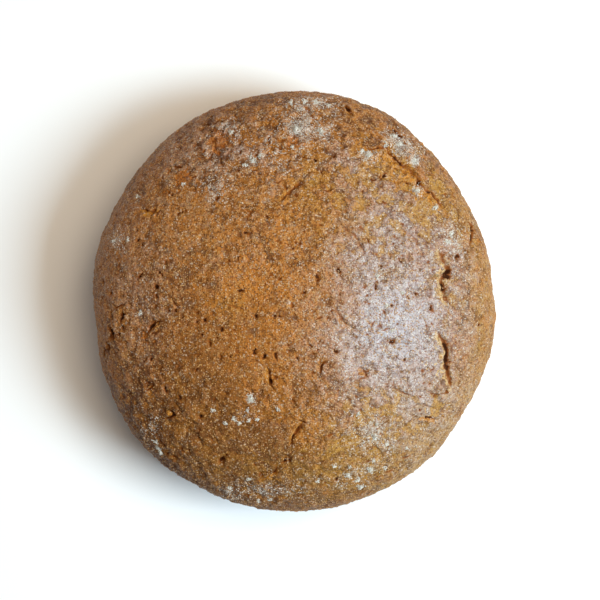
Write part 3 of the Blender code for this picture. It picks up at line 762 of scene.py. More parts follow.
# %% Lumps, wrinkles and scales
# Size of the features and height
LUMPS = ((52.0 * MM, 1.7 * MM), (21.0 * MM, 0.8 * MM), (9.5 * MM, 0.42 * MM))
SKIN = ((5.6 * MM, 0.74 * MM), (2.8 * MM, 0.74 * MM), (1.5 * MM, 0.46 * MM))
CREST_SPAN = 0.60 * MM
WRINKLE_WAY = math.radians(-38.0)
WRINKLE_LENGTH = 7.0 * MM
WRINKLE_WIDTH = 2.6 * MM
WRINKLE_HEIGHT = 0.55 * MM
SCALE_DEPTH = 0.50 * MM

# Size, share and shift of the noises that break the skin into scales
ISLANDS = ((7.5 * MM, 1.0, 51.0), (3.4 * MM, 0.6, 57.0), (1.6 * MM, 0.35, 63.0))
SCALE_EDGE = (0.38, 0.56)


def dough_lumps(places):
    """The same lumps that the solid has."""
    total = np.zeros(len(places))
    for size, amount in LUMPS:
        total = total + amount * noise_at(places, size, offset=Vector((size * 31.0, 7.0, -3.0)))
    return total


def wrinkles(places):
    """Short folds that run down to the right."""
    along = places[:, 0] * math.cos(WRINKLE_WAY) + places[:, 1] * math.sin(WRINKLE_WAY)
    across = places[:, 1] * math.cos(WRINKLE_WAY) - places[:, 0] * math.sin(WRINKLE_WAY)
    along = along * WRINKLE_WIDTH / WRINKLE_LENGTH
    return noise_at(np.column_stack([along, across, places[:, 2]]), WRINKLE_WIDTH, 33.0)


def bare_between_scales(places):
    """One where a scale of the top skin is gone, nought on the scales."""
    here = np.clip(0.15 + field(SCALED, places), 0.0, 1.0)
    return here * smooth_step(*SCALE_EDGE, noises_at(places, ISLANDS) + 0.42 * here)


crag = WRINKLE_HEIGHT * field(WRINKLED, smooth_places) * wrinkles(smooth_places)
for number, (size, amount) in enumerate(SKIN):
    crag = crag + amount * skin_strength * noise_at(smooth_places, size, 11.0 * number)
gone = bare_between_scales(smooth_places)
push = dough_lumps(smooth_places) + crag - SCALE_DEPTH * gone
print("relief of the skin in mm:", round(push.min() / MM, 2), round(push.max() / MM, 2))

# %% Push every place along its normal
LUMP_FADE = 9.0 * MM         # the relief fades out below this height
BED_RELIEF = 0.35 * MM
# The dark mask is the painted shade of steep walls and pits
MASKS = ("dark", "bed", "flaked", "gone", "pale_bed", "fold")
WAVER = ((2.4 * MM, 1.0, 4.0), (1.1 * MM, 0.5, 9.0))    # size, share and shift

waver = noises_at(smooth_places, WAVER)
masks = {name: np.zeros(len(smooth_places)) for name in MASKS}
masks["gone"] = gone
masks["crest"] = np.clip(0.5 + 0.5 * crag / CREST_SPAN, 0.0, 1.0)
for mark in tears + pits + flaked + dents + pores:
    mark.apply(smooth_places, waver, push, masks)
push = push + BED_RELIEF * (masks["bed"] + masks["pale_bed"]) * waver
fade = smooth_step(0.0, LUMP_FADE, smooth_places[:, 2])
crust_places = smooth_places + smooth_normals * (push * fade)[:, None]
print("deepest and highest relief in mm:", round(push.min() / MM, 2), round(push.max() / MM, 2))

# %% [markdown]
# ## The flat base
# The base bakes on the oven floor and comes out flat.  Its rim uses the very
# places of the crust's last ring, so the whole loaf is one closed mesh.

# %% Base and closed mesh
BASE_SPACING = 3.0 * MM
NARROWEST = 0.97             # the outline is hardly narrower, over the mean radius


def base_disc(rim):
    """Places and triangles of the flat base inside the rim."""
    reach = BASE_SHARE * MEAN_RADIUS * NARROWEST - 0.6 * BASE_SPACING
    total = int(math.pi * reach ** 2 / (TRIANGLE_GRID * BASE_SPACING ** 2))
    index = np.arange(total) + 0.5
    inner = round_plane(reach * np.sqrt(index / total), index * GOLDEN_ANGLE)
    return inner, flat_triangles(np.vstack([rim, inner]), [list(range(RIM_PLACES))], 1)


inner, base_triangles = base_disc(crust_places[:RIM_PLACES, :2])
crust_places[:RIM_PLACES, 2] = 0.0
loaf_places = np.vstack([crust_places, np.column_stack([inner, np.zeros(len(inner))])])
further = len(crust_places) - RIM_PLACES
loaf_faces = [tuple(face) for face in crust_triangles]
for face in base_triangles:
    corners = [corner if corner < RIM_PLACES else corner + further for corner in face]
    loaf_faces.append((corners[0], corners[2], corners[1]))
low = loaf_places.min(axis=0)
high = loaf_places.max(axis=0)
loaf_places = loaf_places - np.array([0.5 * (low[0] + high[0]), 0.5 * (low[1] + high[1]), 0.0])
print("loaf triangles:", len(loaf_faces), "size in mm:", in_mm(low, high))

# %% [markdown]
# ## Flour, heat and sheen
# Before it bakes the loaf is dusted, and the flour stays in drifts: along the
# upper edge, low on the left, and along the lower edge.  Where the dough
# stretched most the skin is bare, smooth and more orange, or golden on the
# right.  The lower left is browner, partly from the oven and partly as painted
# shade, and parts of the middle are paler as painted light.  A thin pale film
# of starch lies right of the middle; its colour is partly a painted sheen, and
# its cool middle is a painted reflection of the window.  Each is a table of
# soft spots in plan millimetres, with noise to break them.

# %% Fields of flour and of stretched skin
# Plan x, y, half width, half depth, strength
FLOUR_DRIFTS = (
    (-20.5, 69, 4.5, 4, 0.36), (-31, 86, 7, 6, 0.36), (12, 98, 16, 5, 0.42),
    (0.5, 84.5, 5, 3.5, 0.45), (14, 82, 6, 4, 0.45), (36.5, 71, 4.5, 3, 0.8), (59.5, 69, 3, 3, 0.8),
    (49, 80, 7, 6, 0.45), (61, 55, 3, 4, 0.6), (-38, 56, 9, 10, 0.24), (-10, 75, 28, 16, 0.16),
    (8, 88, 14, 10, 0.24), (58, 77, 14, 8, 0.26), (-88, 30, 4, 7, 0.45), (-25, -56, 10, 4, 0.2),
    (-21, -47, 3, 3, 0.45), (-72, -62, 7, 14, 0.34), (-21, -95, 28, 7, 0.34),
    (28, -88, 18, 6, 0.24), (38, -66, 12, 12, 0.3), (42, -6, 26, 34, 0.16), (78, 28, 6, 12, 0.38),
)
STRETCHED = (
    (45, 66, 12, 8, 0.8), (63, 52, 9, 6, 0.6), (10, 90, 5, 7, 0.6), (0, 56, 8, 10, 0.55),
    (-22, 4, 26, 40, 0.6), (-45, -40, 26, 38, 0.55), (12, 38, 18, 14, 0.45), (-30, 60, 8, 6, 0.4),
    (36, 36, 14, 5, 0.55), (-24, -56, 22, 26, 0.55), (10, -56, 16, 22, 0.45), (4, -66, 6, 6, 0.45),
)
print("spots of flour and of stretched skin:", len(FLOUR_DRIFTS), len(STRETCHED))

# %% Fields of the skin's colours
OCHRE = (
    (62, -62, 34, 30, 0.75), (10, -86, 60, 22, 0.55), (92, 0, 14, 60, 0.5), (-40, -80, 30, 24, 0.2),
    (75, 50, 16, 20, 0.45),
)

# Bare skin that baked golden rather than orange
GOLDEN = (
    (60, 52, 40, 34, 0.9), (44, 20, 30, 30, 0.55), (78, 0, 26, 60, 0.8), (52, -58, 40, 34, 0.8),
    (8, 56, 14, 14, 0.45), (-30, -2, 8, 6, 0.4),
)

# Above zero browner, partly from the oven and partly as painted shade; below zero paler, as painted
# light
BROWNED_AND_SHADED = (
    (-64, -62, 26, 26, 1.1), (-20, -92, 46, 17, 1.1), (-90, 5, 14, 34, -0.4),
    (10, 20, 22, 50, -0.9), (-46, 42, 34, 34, -0.9), (-10, 62, 30, 16, -0.4),
    (26, -40, 20, 30, -0.6), (-20, -20, 24, 34, 0.3), (-68, -38, 14, 12, -0.5),
    (-20, 30, 16, 16, -0.4), (-44, 28, 14, 14, 0.5), (-44, -56, 14, 14, 0.4),
    (-56, -24, 20, 36, 0.35), (-24, -64, 34, 24, 0.75), (-40, -80, 28, 14, 0.7),
    (-44, -24, 16, 26, 0.45),
)
print("spots of colour:", len(OCHRE) + len(GOLDEN) + len(BROWNED_AND_SHADED))

# %% Fields of the sheen
# Spots of the pale film, whose colour is partly a painted sheen
FILM_AND_SHEEN = (
    (46, 0, 26, 44, 0.68), (0, -14, 12, 60, 0.16), (22, -54, 22, 20, 0.2), (50, -80, 16, 10, 0.18),
    (-46, 76, 24, 16, 0.22), (-20, 30, 14, 14, 0.22), (24, 71, 12, 10, 0.3), (34, 62, 12, 8, 0.28),
    (46, -16, 14, 18, 0.45), (-74, -14, 24, 44, 0.24), (60, -56, 28, 26, 0.5),
    (26, -20, 18, 20, 0.45), (68, -16, 14, 30, 0.5), (30, 20, 16, 16, 0.35), (76, 20, 12, 16, 0.32),
    (88, -10, 10, 40, 0.26), (-25, 72, 44, 20, 0.34), (-84, 30, 30, 44, 0.26),
    (50, 44, 26, 20, 0.42),
)

# The cool middle of the sheen, a painted reflection of the window
REFLECTION_SPOTS = (
    (46, -14, 16, 20, 1), (60, 12, 22, 26, 0.35),
)
print("spots of sheen:", len(FILM_AND_SHEEN) + len(REFLECTION_SPOTS))

# %% Values of the fields at each vertex
DRIFT = ((11.0 * MM, 1.0, 21.0), (4.5 * MM, 0.6, 27.0))    # size, share and shift
CLEAN_BELOW = (5.0 * MM, 20.0 * MM)
BASE_EDGE = (7.0 * MM, 1.0 * MM)

drift_noise = noises_at(loaf_places, DRIFT)
above_table = smooth_step(*CLEAN_BELOW, loaf_places[:, 2])


def spots(table, broken):
    """A table's spots, broken more or less by the drift noise."""
    return field(table, loaf_places) * (1.0 + broken * drift_noise)


def clipped(values):
    """Values from nought to one."""
    return np.clip(values, 0.0, 1.0)


fields = {
    "flour": clipped(0.10 + spots(FLOUR_DRIFTS, 0.9)) * above_table,
    "stretched": clipped(spots(STRETCHED, 0.8)),
    "ochre": clipped(spots(OCHRE, 0.4)),
    # The film, partly a painted sheen
    "film_and_sheen": clipped(spots(FILM_AND_SHEEN, 0.25)) * above_table,
    # Browner low on the left, partly as painted shade, and paler in the middle as painted light
    "browned_and_shaded": clipped(0.5 + 0.4 * field(BROWNED_AND_SHADED, loaf_places)),
    "coarse": clipped(coarse_skin(loaf_places) + field(SCALED, loaf_places) * 0.35) * above_table,
    "base": smooth_step(*BASE_EDGE, loaf_places[:, 2] + 2.0 * MM * drift_noise),
    "golden": clipped(spots(GOLDEN, 0.6)),
    # A painted reflection of the window
    "painted_reflection": clipped(field(REFLECTION_SPOTS, loaf_places)) * above_table,
}
print("mean flour cover:", round(float(fields["flour"].mean()), 3))

# %% Build the crust object
def make_piece(name, places, faces):
    """A mesh object at the origin."""
    mesh = bpy.data.meshes.new(name)
    mesh.from_pydata([tuple(place) for place in places], [], faces)
    mesh.validate()
    mesh.shade_smooth()
    piece = bpy.data.objects.new(name, mesh)
    bpy.context.scene.collection.objects.link(piece)
    return piece


def paint(mesh, name, values):
    """One number for each vertex, which the material and the scatter read."""
    layer = mesh.attributes.new(name, "FLOAT", "POINT")
    layer.data.foreach_set("value", np.asarray(values, dtype=np.float32))


crust = make_piece("rye_crust", loaf_places, loaf_faces)
for name in masks:
    paint(crust.data, name, np.concatenate([masks[name], np.zeros(len(inner))]))
for name in fields:
    paint(crust.data, name, fields[name])
print("crust vertices:", len(crust.data.vertices), "painted:", len(masks) + len(fields))

# %% [markdown]
# ## Writing nodes as arithmetic
# A material is a web of nodes, which is slow to read.  A small class wraps a
# socket so that plus, minus and times add Math nodes, and the web then reads
# like a formula.  Colours go through Mix nodes, because Math would turn them
# grey.  The same class serves the trees of Geometry Nodes further down.

# %% A number that flows through nodes
class Signal:
    """A socket's number, with the signs of arithmetic."""

    def __init__(self, nodes, socket):
        self.nodes = nodes
        self.socket = socket

    def __add__(self, other):
        return self.nodes.maths("ADD", self, other)

    def __radd__(self, other):
        return self.nodes.maths("ADD", other, self)

    def __sub__(self, other):
        return self.nodes.maths("SUBTRACT", self, other)

    def __rsub__(self, other):
        return self.nodes.maths("SUBTRACT", other, self)

    def __mul__(self, other):
        return self.nodes.maths("MULTIPLY", self, other)

    def __rmul__(self, other):
        return self.nodes.maths("MULTIPLY", other, self)

    def ramp(self, low, high, first=0.0, last=1.0, kind="LINEAR"):
        """From first at low to last at high, and level beyond."""
        return self.nodes.number("ShaderNodeMapRange", {"interpolation_type": kind}, {
            "Value": self, "From Min": low, "From Max": high, "To Min": first, "To Max": last,
        })

    def rise(self, low, high):
        """Nought below low, one above high, smooth between."""
        return self.ramp(low, high, kind="SMOOTHSTEP")

    def size(self):
        """The number without its sign."""
        return self.nodes.maths("ABSOLUTE", self, 0.0)


class Nodes:
    """A node tree with short ways to add to it."""

    def __init__(self, tree):
        self.tree = tree

    def node(self, kind, settings=None, sockets=None):
        """A node with its settings made first, then its sockets."""
        node = self.tree.nodes.new(kind)
        for name, value in (settings or {}).items():
            setattr(node, name, value)
        for name, value in (sockets or {}).items():
            self.feed(node.inputs[name], value)
        return node

    def feed(self, socket, value):
        """Set a socket to a value, or link it."""
        if isinstance(value, Signal):
            value = value.socket
        if isinstance(value, bpy.types.NodeSocket):
            self.tree.links.new(value, socket)
        else:
            socket.default_value = value

    def number(self, kind, settings, sockets):
        """The first output of a node, as a signal."""
        return Signal(self, self.node(kind, settings, sockets).outputs[0])

    def maths(self, operation, first, second):
        """One Math node."""
        return self.number("ShaderNodeMath", {"operation": operation}, {0: first, 1: second})


# %% A material
GRAIN_REACH = 0.62    # how far a grain reaches in its cell, and how soft its edge is
GRAIN_EDGE = 0.18


class Web(Nodes):
    """The node tree of one material."""

    def __init__(self, name):
        self.material = bpy.data.materials.new(name)
        self.material.use_nodes = True
        super().__init__(self.material.node_tree)
        self.shader = self.tree.nodes["Principled BSDF"]
        self.place = self.node("ShaderNodeTexCoord").outputs["Object"]

    def set(self, **values):
        """Feed the shader's sockets; an underscore stands for a space."""
        for name, value in values.items():
            self.feed(self.shader.inputs[name.replace("_", " ")], value)

    def painted(self, name):
        """A value painted on the mesh."""
        node = self.node("ShaderNodeAttribute", {"attribute_name": name})
        return Signal(self, node.outputs["Fac"])

    def pattern(self, way, size, sockets):
        """Sockets of a pattern whose features have a real size, moved along a way."""
        moved = self.node("ShaderNodeVectorMath", {"operation": "ADD"}, {0: self.place, 1: way})
        return {"Vector": moved.outputs[0], "Scale": 1.0 / size, **sockets}

    def noise(self, size, detail=2.0, roughness=0.5, shift=0.0):
        """Noise with features of one size."""
        way = (shift, 0.7 * shift, -shift)
        sockets = self.pattern(way, size, {"Detail": detail, "Roughness": roughness})
        return self.number("ShaderNodeTexNoise", {}, sockets)

    def grains(self, size, shift=0.0):
        """Round grains of one size: how near a grain's middle, and a number of its own."""
        sockets = self.pattern((shift, -shift, 0.6 * shift), size, {"Randomness": 1.0})
        cells = self.node("ShaderNodeTexVoronoi", {"feature": "F1"}, sockets)
        middle = (GRAIN_REACH - Signal(self, cells.outputs["Distance"])).rise(0.0, GRAIN_EDGE)
        return middle, self.number("ShaderNodeSeparateColor", {}, {0: cells.outputs["Color"]})

    def mix(self, share, first, second):
        """A colour between two colours."""
        sockets = {0: share, 6: first, 7: second}
        return self.node("ShaderNodeMix", {"data_type": "RGBA"}, sockets).outputs[2]

    def bump(self, height, distance, strength=1.0):
        """A bump from a height signal."""
        sockets = {"Height": height, "Distance": distance, "Strength": strength}
        return self.node("ShaderNodeBump", None, sockets).outputs[0]


class Layers:
    """A colour made as a painter would, one layer over another."""

    def __init__(self, web, first):
        self.web = web
        self.top = first

    def over(self, share, colour):
        """Lay a colour over the ones below, where the share says so."""
        self.top = self.web.mix(share, self.top, colour)


# %% [markdown]
# ## The crust
# The crust is brown rather than red, with meal baked into it: every square
# millimetre holds pale and dark specks.  So the colour starts from two browns
# in large soft clouds, and the painted fields lay ochre, orange, deep brown
# and the pale film over them.  The deep brown is partly painted shade and the
# film partly a painted sheen; hollows of the relief get painted shade and its
# crests a paler tone as painted light.  The specks are cells of a Voronoi
# pattern, two thirds of a millimetre and one millimetre wide, each with a
# number of its own that decides whether it is meal, bran or nothing.  Beds of
# tears are golden, and steep walls and deep places are painted dark as shade,
# nearly black in the deepest.  The weights in the formulas were tuned.

# %% Crust colours and grain sizes
SKIN_BROWN = (0.18, 0.062, 0.014, 1.0)
SKIN_TAN = (0.435, 0.163, 0.03, 1.0)
SKIN_ORANGE = (0.465, 0.158, 0.018, 1.0)
SKIN_GOLD = (0.47, 0.225, 0.036, 1.0)
SKIN_OCHRE = (0.4, 0.21, 0.042, 1.0)
SKIN_PINKISH = (0.4, 0.27, 0.18, 1.0)
# The film's colour, partly a painted sheen
SKIN_FILM_AND_SHEEN = (0.39, 0.296, 0.264, 1.0)
# A painted reflection of the window, pale and cool
PAINTED_REFLECTION = (0.46, 0.436, 0.47, 1.0)
# Painted shade in the hollows of the relief
CAVITY_SHADE = (0.12, 0.038, 0.008, 1.0)
SKIN_DUSKY = (0.15, 0.058, 0.012, 1.0)
UNDER_ORANGE = (0.42, 0.15, 0.016, 1.0)
UNDER_OCHRE = (0.43, 0.215, 0.036, 1.0)
UNDER_BROWN = (0.2, 0.078, 0.013, 1.0)
FOLD_OCHRE = (0.52, 0.33, 0.12, 1.0)
BED_GOLD = (0.54, 0.22, 0.025, 1.0)
BED_CREAM = (0.64, 0.42, 0.19, 1.0)
FLAKE_RUST = (0.48, 0.15, 0.014, 1.0)
MEAL_PEACH = (0.62, 0.34, 0.11, 1.0)
MEAL_CREAM = (0.7, 0.62, 0.54, 1.0)
FLOUR_GREY = (0.45, 0.42, 0.37, 1.0)
# Painted shade in the cracks along scale edges and round flaked patches
CRACK_SHADE = (0.08, 0.022, 0.004, 1.0)
GRAIN_BROWN = (0.105, 0.032, 0.005, 1.0)
GRAIN_RUST = (0.2, 0.052, 0.006, 1.0)
BASE_BROWN = (0.15, 0.07, 0.026, 1.0)
BASE_TAN = (0.29, 0.16, 0.07, 1.0)
# Painted shade of the steep walls of tears and pits, and of the deepest places
WALL_SHADE = (0.24, 0.062, 0.004, 1.0)
DEEP_SHADE = (0.034, 0.008, 0.001, 1.0)
FINE_GRAIN = 0.66 * MM
COARSE_GRAIN = 0.98 * MM


class Texture:
    """The patterns that colour, gloss and relief share."""

    def __init__(self, web):
        self.clouds = web.noise(24.0 * MM, 3.0, 0.55)
        self.mottle = web.noise(4.5 * MM, 4.0, 0.62, 1.0)
        self.patch = web.noise(6.5 * MM, 5.0, 0.68, 11.0)
        self.dust = web.noise(3.0 * MM, 4.0, 0.70, 13.0)
        self.fleck = web.noise(1.3 * MM, 2.0, 0.60, 3.0)
        self.fine, self.fine_pick = web.grains(FINE_GRAIN, 5.0)
        self.coarse, self.coarse_pick = web.grains(COARSE_GRAIN, 8.0)


# %% Colour of the skin
def skin_colour(web, look):
    """Browns, ochres, the film, and what lies bare under the scales."""
    gone = web.painted("gone")
    crest = web.painted("crest")
    browned_and_shaded = web.painted("browned_and_shaded")
    golden = web.painted("golden")
    khaki = (web.painted("ochre") + look.patch * 0.9 - 0.45).rise(0.1, 0.9)
    # Paler on the crests of the relief, as painted light
    tone = look.clouds * 0.3 + look.mottle * 0.35 + look.fleck * 0.15 + crest * 0.26
    # Browner or paler with that field, partly as painted shade and light
    tone = tone + (0.5 - browned_and_shaded) * 0.2 - 0.018
    skin = Layers(web, web.mix(tone.rise(0.40, 0.60), SKIN_BROWN, SKIN_TAN))
    skin.over(look.patch.rise(0.53, 0.66) * (0.2 + 0.5 * golden), SKIN_OCHRE)
    skin.over(khaki, SKIN_OCHRE)
    bare = (web.painted("stretched") + look.mottle * 0.7 - 0.35).rise(0.1, 0.8)
    skin.over(bare, web.mix(golden, SKIN_ORANGE, SKIN_GOLD))
    # Dusky brown where that field is high, partly painted shade
    skin.over((browned_and_shaded + look.mottle * 0.6 - 0.3).rise(0.45, 1.15) * 0.88, SKIN_DUSKY)
    # Painted shade in the hollows of the relief
    skin.over((0.42 - crest).rise(0.0, 0.40) * 0.6, CAVITY_SHADE)
    patchy = (look.dust * 0.6 - look.mottle * 0.5 + 0.5).rise(0.55, 0.66)
    skin.over(patchy * (1.0 - browned_and_shaded * 0.85) * 0.42, SKIN_PINKISH)
    # The film's colour is partly a painted sheen, with more on the crests as painted light, and its
    # cool middle is a painted reflection of the window
    film_and_sheen = web.painted("film_and_sheen") - bare * 0.1 + look.dust * 0.7 + crest * 0.4
    film_and_sheen = film_and_sheen + look.fine_pick * 0.15 - 0.73
    skin.over(film_and_sheen.rise(0.0, 0.95) * 0.86, web.mix(web.painted("painted_reflection"), SKIN_FILM_AND_SHEEN, PAINTED_REFLECTION))
    under = web.mix((khaki + golden).rise(0.0, 1.0), UNDER_ORANGE, UNDER_OCHRE)
    under = web.mix((browned_and_shaded - 0.5).rise(0.0, 0.5) * 0.65, under, UNDER_BROWN)
    skin.over((gone + look.fleck * 1.1 + look.mottle * 0.7 - 0.90).rise(0.15, 0.80) * 0.85, under)
    # Painted shade in the cracks along the edges of the scales
    edge = (1.0 - (gone - 0.4).size() * 3.0).rise(0.0, 1.0)
    skin.over(edge * (look.fleck + look.mottle).rise(0.90, 1.10) * 0.85, CRACK_SHADE)
    flake_tone = (khaki * 0.5 + golden * 0.8).rise(0.0, 1.0)
    open_tears(web, look, skin, web.mix(flake_tone, FLAKE_RUST, UNDER_OCHRE))
    return skin.top


def open_tears(web, look, skin, flake_colour):
    """Lay the flaked patches, the folds and the beds of the tears over the skin."""
    flaked = web.painted("flaked")
    flaked_here = flaked + look.mottle * 0.8 + look.fleck * 0.5 - 0.65
    skin.over(flaked_here.rise(0.15, 0.8) * 0.9, flake_colour)
    # Painted shade round the rim of each flaked patch
    rim = (1.0 - (flaked - 0.3).size() * 3.5).rise(0.0, 1.0)
    skin.over(rim * look.fleck.rise(0.40, 0.55) * 0.8, CRACK_SHADE)
    rough_edge = look.fleck * 0.7 - 0.35
    skin.over((web.painted("fold") + rough_edge).rise(0.2, 1.0) * 0.8, FOLD_OCHRE)
    skin.over((web.painted("bed") + rough_edge).rise(0.2, 0.8), BED_GOLD)
    skin.over((web.painted("pale_bed") + rough_edge).rise(0.2, 0.8), BED_CREAM)


# %% Colour of the base, and of all the crust
def base_colour(web, look):
    """The flat base: dull brown, darker where it touched the stone, with flour in patches."""
    base = Layers(web, web.mix(look.patch.rise(0.40, 0.62), BASE_BROWN, BASE_TAN))
    base.over(look.coarse * (0.20 - look.coarse_pick).rise(0.0, 0.12), GRAIN_BROWN)
    floury = (look.dust + look.mottle * 0.6 - 0.30).rise(0.42, 0.66)
    base.over(floury * (0.25 + 0.5 * look.fine_pick), FLOUR_GREY)
    return base.top


def crust_colour(web, look):
    """The skin with meal, flour, dark grains and pores on it."""
    flour_here = web.painted("flour")
    dark = web.painted("dark")
    film_and_sheen = web.painted("film_and_sheen")
    skin = Layers(web, skin_colour(web, look))
    dusty = flour_here + look.dust * 1.4 + look.fleck * 0.5 - 1.05
    skin.over(dusty.rise(0.15, 0.85) * 0.60, FLOUR_GREY)
    # Meal is paler in the film, partly as a painted sparkle of the sheen
    paler = flour_here + film_and_sheen * 0.5 + look.fleck * 0.4 + look.coarse_pick * 0.6 - 0.42
    meal = web.mix(paler.rise(0.15, 0.8), MEAL_PEACH, MEAL_CREAM)
    bran = web.mix(look.coarse_pick.rise(0.35, 0.65), GRAIN_RUST, GRAIN_BROWN)
    unflaked = 1.0 - 0.7 * web.painted("flaked")
    gathered = look.dust.rise(0.36, 0.64)
    fine_wanted = look.fine_pick + flour_here * 0.25 - web.painted("browned_and_shaded") * 0.14
    pale_fine = look.fine * unflaked * fine_wanted.rise(0.60, 0.86) * (0.55 + 0.65 * gathered)
    pale_coarse = look.coarse * unflaked * (look.coarse_pick + flour_here * 0.2).rise(0.86, 0.97)
    shade_fine = look.fine * (0.42 - look.fine_pick).rise(0.02, 0.20) * (1.15 - 0.55 * gathered)
    shade_coarse = look.coarse * (0.28 - look.coarse_pick).rise(0.02, 0.15)
    skin.over(pale_fine * 0.80, meal)
    skin.over(pale_coarse * 0.50, meal)
    skin.over(shade_fine * 0.85, bran)
    skin.over(shade_coarse * (0.75 - 0.30 * film_and_sheen), GRAIN_BROWN)
    # Painted shade on the steep walls and pits, nearly black in the deepest places
    skin.over(dark.rise(0.12, 0.55) * 0.95, WALL_SHADE)
    skin.over((dark + look.fleck * 0.5 - 0.25).rise(0.56, 0.84) * 0.9, DEEP_SHADE)
    skin.over(web.painted("base") * 0.9, base_colour(web, look))
    return skin.top


# %% Material of the crust
BUMP_HEIGHT = 0.36 * MM


def crust_material():
    """Browned rye crust, with a soft coat of starch where the film lies."""
    web = Web("rye_crust")
    look = Texture(web)
    dull = 0.25 * web.painted("flour") + 0.45 * web.painted("dark")
    gloss = (web.painted("film_and_sheen") + look.dust * 0.4 - 0.25).rise(0.0, 0.9)
    height = look.fine * look.fine_pick * 1.1 + look.coarse * look.coarse_pick * 0.8
    web.set(
        Base_Color=crust_colour(web, look),
        Roughness=0.38 + 0.16 * look.mottle + 0.1 * look.fine_pick + dull,
        Specular_IOR_Level=0.20,
        Coat_Weight=gloss * (1.0 - web.painted("dark")) * 0.72,
        Coat_Roughness=0.46,
        Normal=web.bump(height + look.fleck * 1.7 + look.dust * 1.4, BUMP_HEIGHT),
    )
    return web.material


crust.data.materials.append(crust_material())
print("crust material:", crust.data.materials[0].name)

# %% Put the crust on the frame
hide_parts("loaf")
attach(crust, "root")

# %% [markdown]
# ## Flour and meal as real grains
# Up close the dust on the crust isn't paint: it is flour in clumps, loose
# grains of flour in the drifts, crumbs of dried skin, and bran and meal all
# over.  Thousands of small bodies are a job for Geometry Nodes.  A tree takes
# the crust, spreads points on its faces, puts one small shape on each point
# and makes them one mesh.  The density follows the painted fields, so grains
# and colour agree.

# %% A class for geometry trees
class Scatter(Nodes):
    """A Geometry Nodes tree that puts small grains on points."""

    def __init__(self, name, material):
        super().__init__(bpy.data.node_groups.new(name, "GeometryNodeTree"))
        self.material = material
        self.values = {}
        for way in ("INPUT", "OUTPUT"):
            self.tree.interface.new_socket("Geometry", socket_type="NodeSocketGeometry", in_out=way)
        self.source = self.tree.nodes.new("NodeGroupInput")
        self.sink = self.tree.nodes.new("NodeGroupOutput")

    def named(self, name, kind, value):
        """A named input of the tree with the value for its modifier."""
        item = self.tree.interface.new_socket(name, socket_type=kind, in_out="INPUT")
        self.values[item.identifier] = value
        return Signal(self, self.source.outputs[name])

    def attribute(self, name):
        """A painted number of the geometry."""
        settings = {"data_type": "FLOAT"}
        return self.number("GeometryNodeInputNamedAttribute", settings, {"Name": name})

    def chance(self, low, high, seed):
        """A random number for each point."""
        sockets = {2: low, 3: high, "Seed": seed}
        return self.node("FunctionNodeRandomValue", {"data_type": "FLOAT"}, sockets).outputs[1]

    def any_turn(self, seed):
        """A random rotation for each point."""
        sockets = {0: (0.0, 0.0, 0.0), 1: (FULL_TURN, FULL_TURN, FULL_TURN), "Seed": seed}
        return self.number("FunctionNodeRandomValue", {"data_type": "FLOAT_VECTOR"}, sockets)

    def close(self, points, shape, size, seed):
        """Put the shape on the points, give each a tone, and make one mesh."""
        placed = self.number("GeometryNodeInstanceOnPoints", {}, {
            "Points": points, "Instance": shape, "Rotation": self.any_turn(seed), "Scale": size,
        })
        settings = {"data_type": "FLOAT", "domain": "INSTANCE"}
        toned = self.number("GeometryNodeStoreNamedAttribute", settings, {
            "Geometry": placed, "Name": "tone", "Value": self.chance(0.0, 1.0, seed),
        })
        joined = self.number("GeometryNodeRealizeInstances", {}, {"Geometry": toned})
        dressed = self.number(
            "GeometryNodeSetMaterial", {}, {"Geometry": joined, "Material": self.material}
        )
        self.feed(self.sink.inputs[0], dressed)


def grow(name, mesh, scatter):
    """Make a piece of the plain mesh that a tree makes from a mesh."""
    host = bpy.data.objects.new(name + "_host", mesh)
    bpy.context.scene.collection.objects.link(host)
    modifier = host.modifiers.new(name, "NODES")
    modifier.node_group = scatter.tree
    for identifier, value in scatter.values.items():
        modifier[identifier] = value
    graph = bpy.context.evaluated_depsgraph_get()
    made = bpy.data.meshes.new_from_object(
        host.evaluated_get(graph), preserve_all_data_layers=True, depsgraph=graph
    )
    made.name = name
    host.modifiers.remove(modifier)
    bpy.data.objects.remove(host)
    piece = bpy.data.objects.new(name, made)
    bpy.context.scene.collection.objects.link(piece)
    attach(piece, "root")
    print(name, "triangles:", sum(len(polygon.vertices) - 2 for polygon in made.polygons))


# %% One kind of grain spread on the crust
def spread_on_crust(name, material, density, radii, seed, share, shape, sunk=0.0):
    """Grow grains where the share says so, sunk into the crust by a depth."""
    scatter = Scatter(name, material)
    density = scatter.named("Grains per square metre", "NodeSocketFloat", density)
    least = scatter.named("Least radius", "NodeSocketFloat", radii[0])
    most = scatter.named("Most radius", "NodeSocketFloat", radii[1])
    seed = scatter.named("Seed", "NodeSocketInt", seed)
    spread = scatter.node(
        "GeometryNodeDistributePointsOnFaces",
        {"distribute_method": "RANDOM"},
        {"Mesh": scatter.source.outputs[0], "Density": share(scatter) * density, "Seed": seed},
    )
    points = spread.outputs[0]
    if sunk:
        sockets = {0: spread.outputs["Normal"], "Scale": -sunk}
        inward = scatter.number("ShaderNodeVectorMath", {"operation": "SCALE"}, sockets)
        sockets = {"Geometry": points, "Offset": inward}
        points = scatter.number("GeometryNodeSetPosition", {}, sockets)
    scatter.close(points, shape(scatter), scatter.chance(least, most, seed), seed)
    grow(name, crust.data, scatter)


def grain_material(name, first, second, roughness):
    """A dry grain with a tone of its own between two colours."""
    web = Web(name)
    speckle = web.noise(0.5 * MM, 2.0, 0.6, 6.0)
    share = (web.painted("tone") + speckle * 0.5 - 0.25).rise(0.1, 0.9)
    web.set(
        Base_Color=web.mix(share, first, second),
        Roughness=roughness + 0.15 * speckle,
        Specular_IOR_Level=0.25,
        Normal=web.bump(speckle, 0.1 * MM, 0.6),
    )
    return web.material


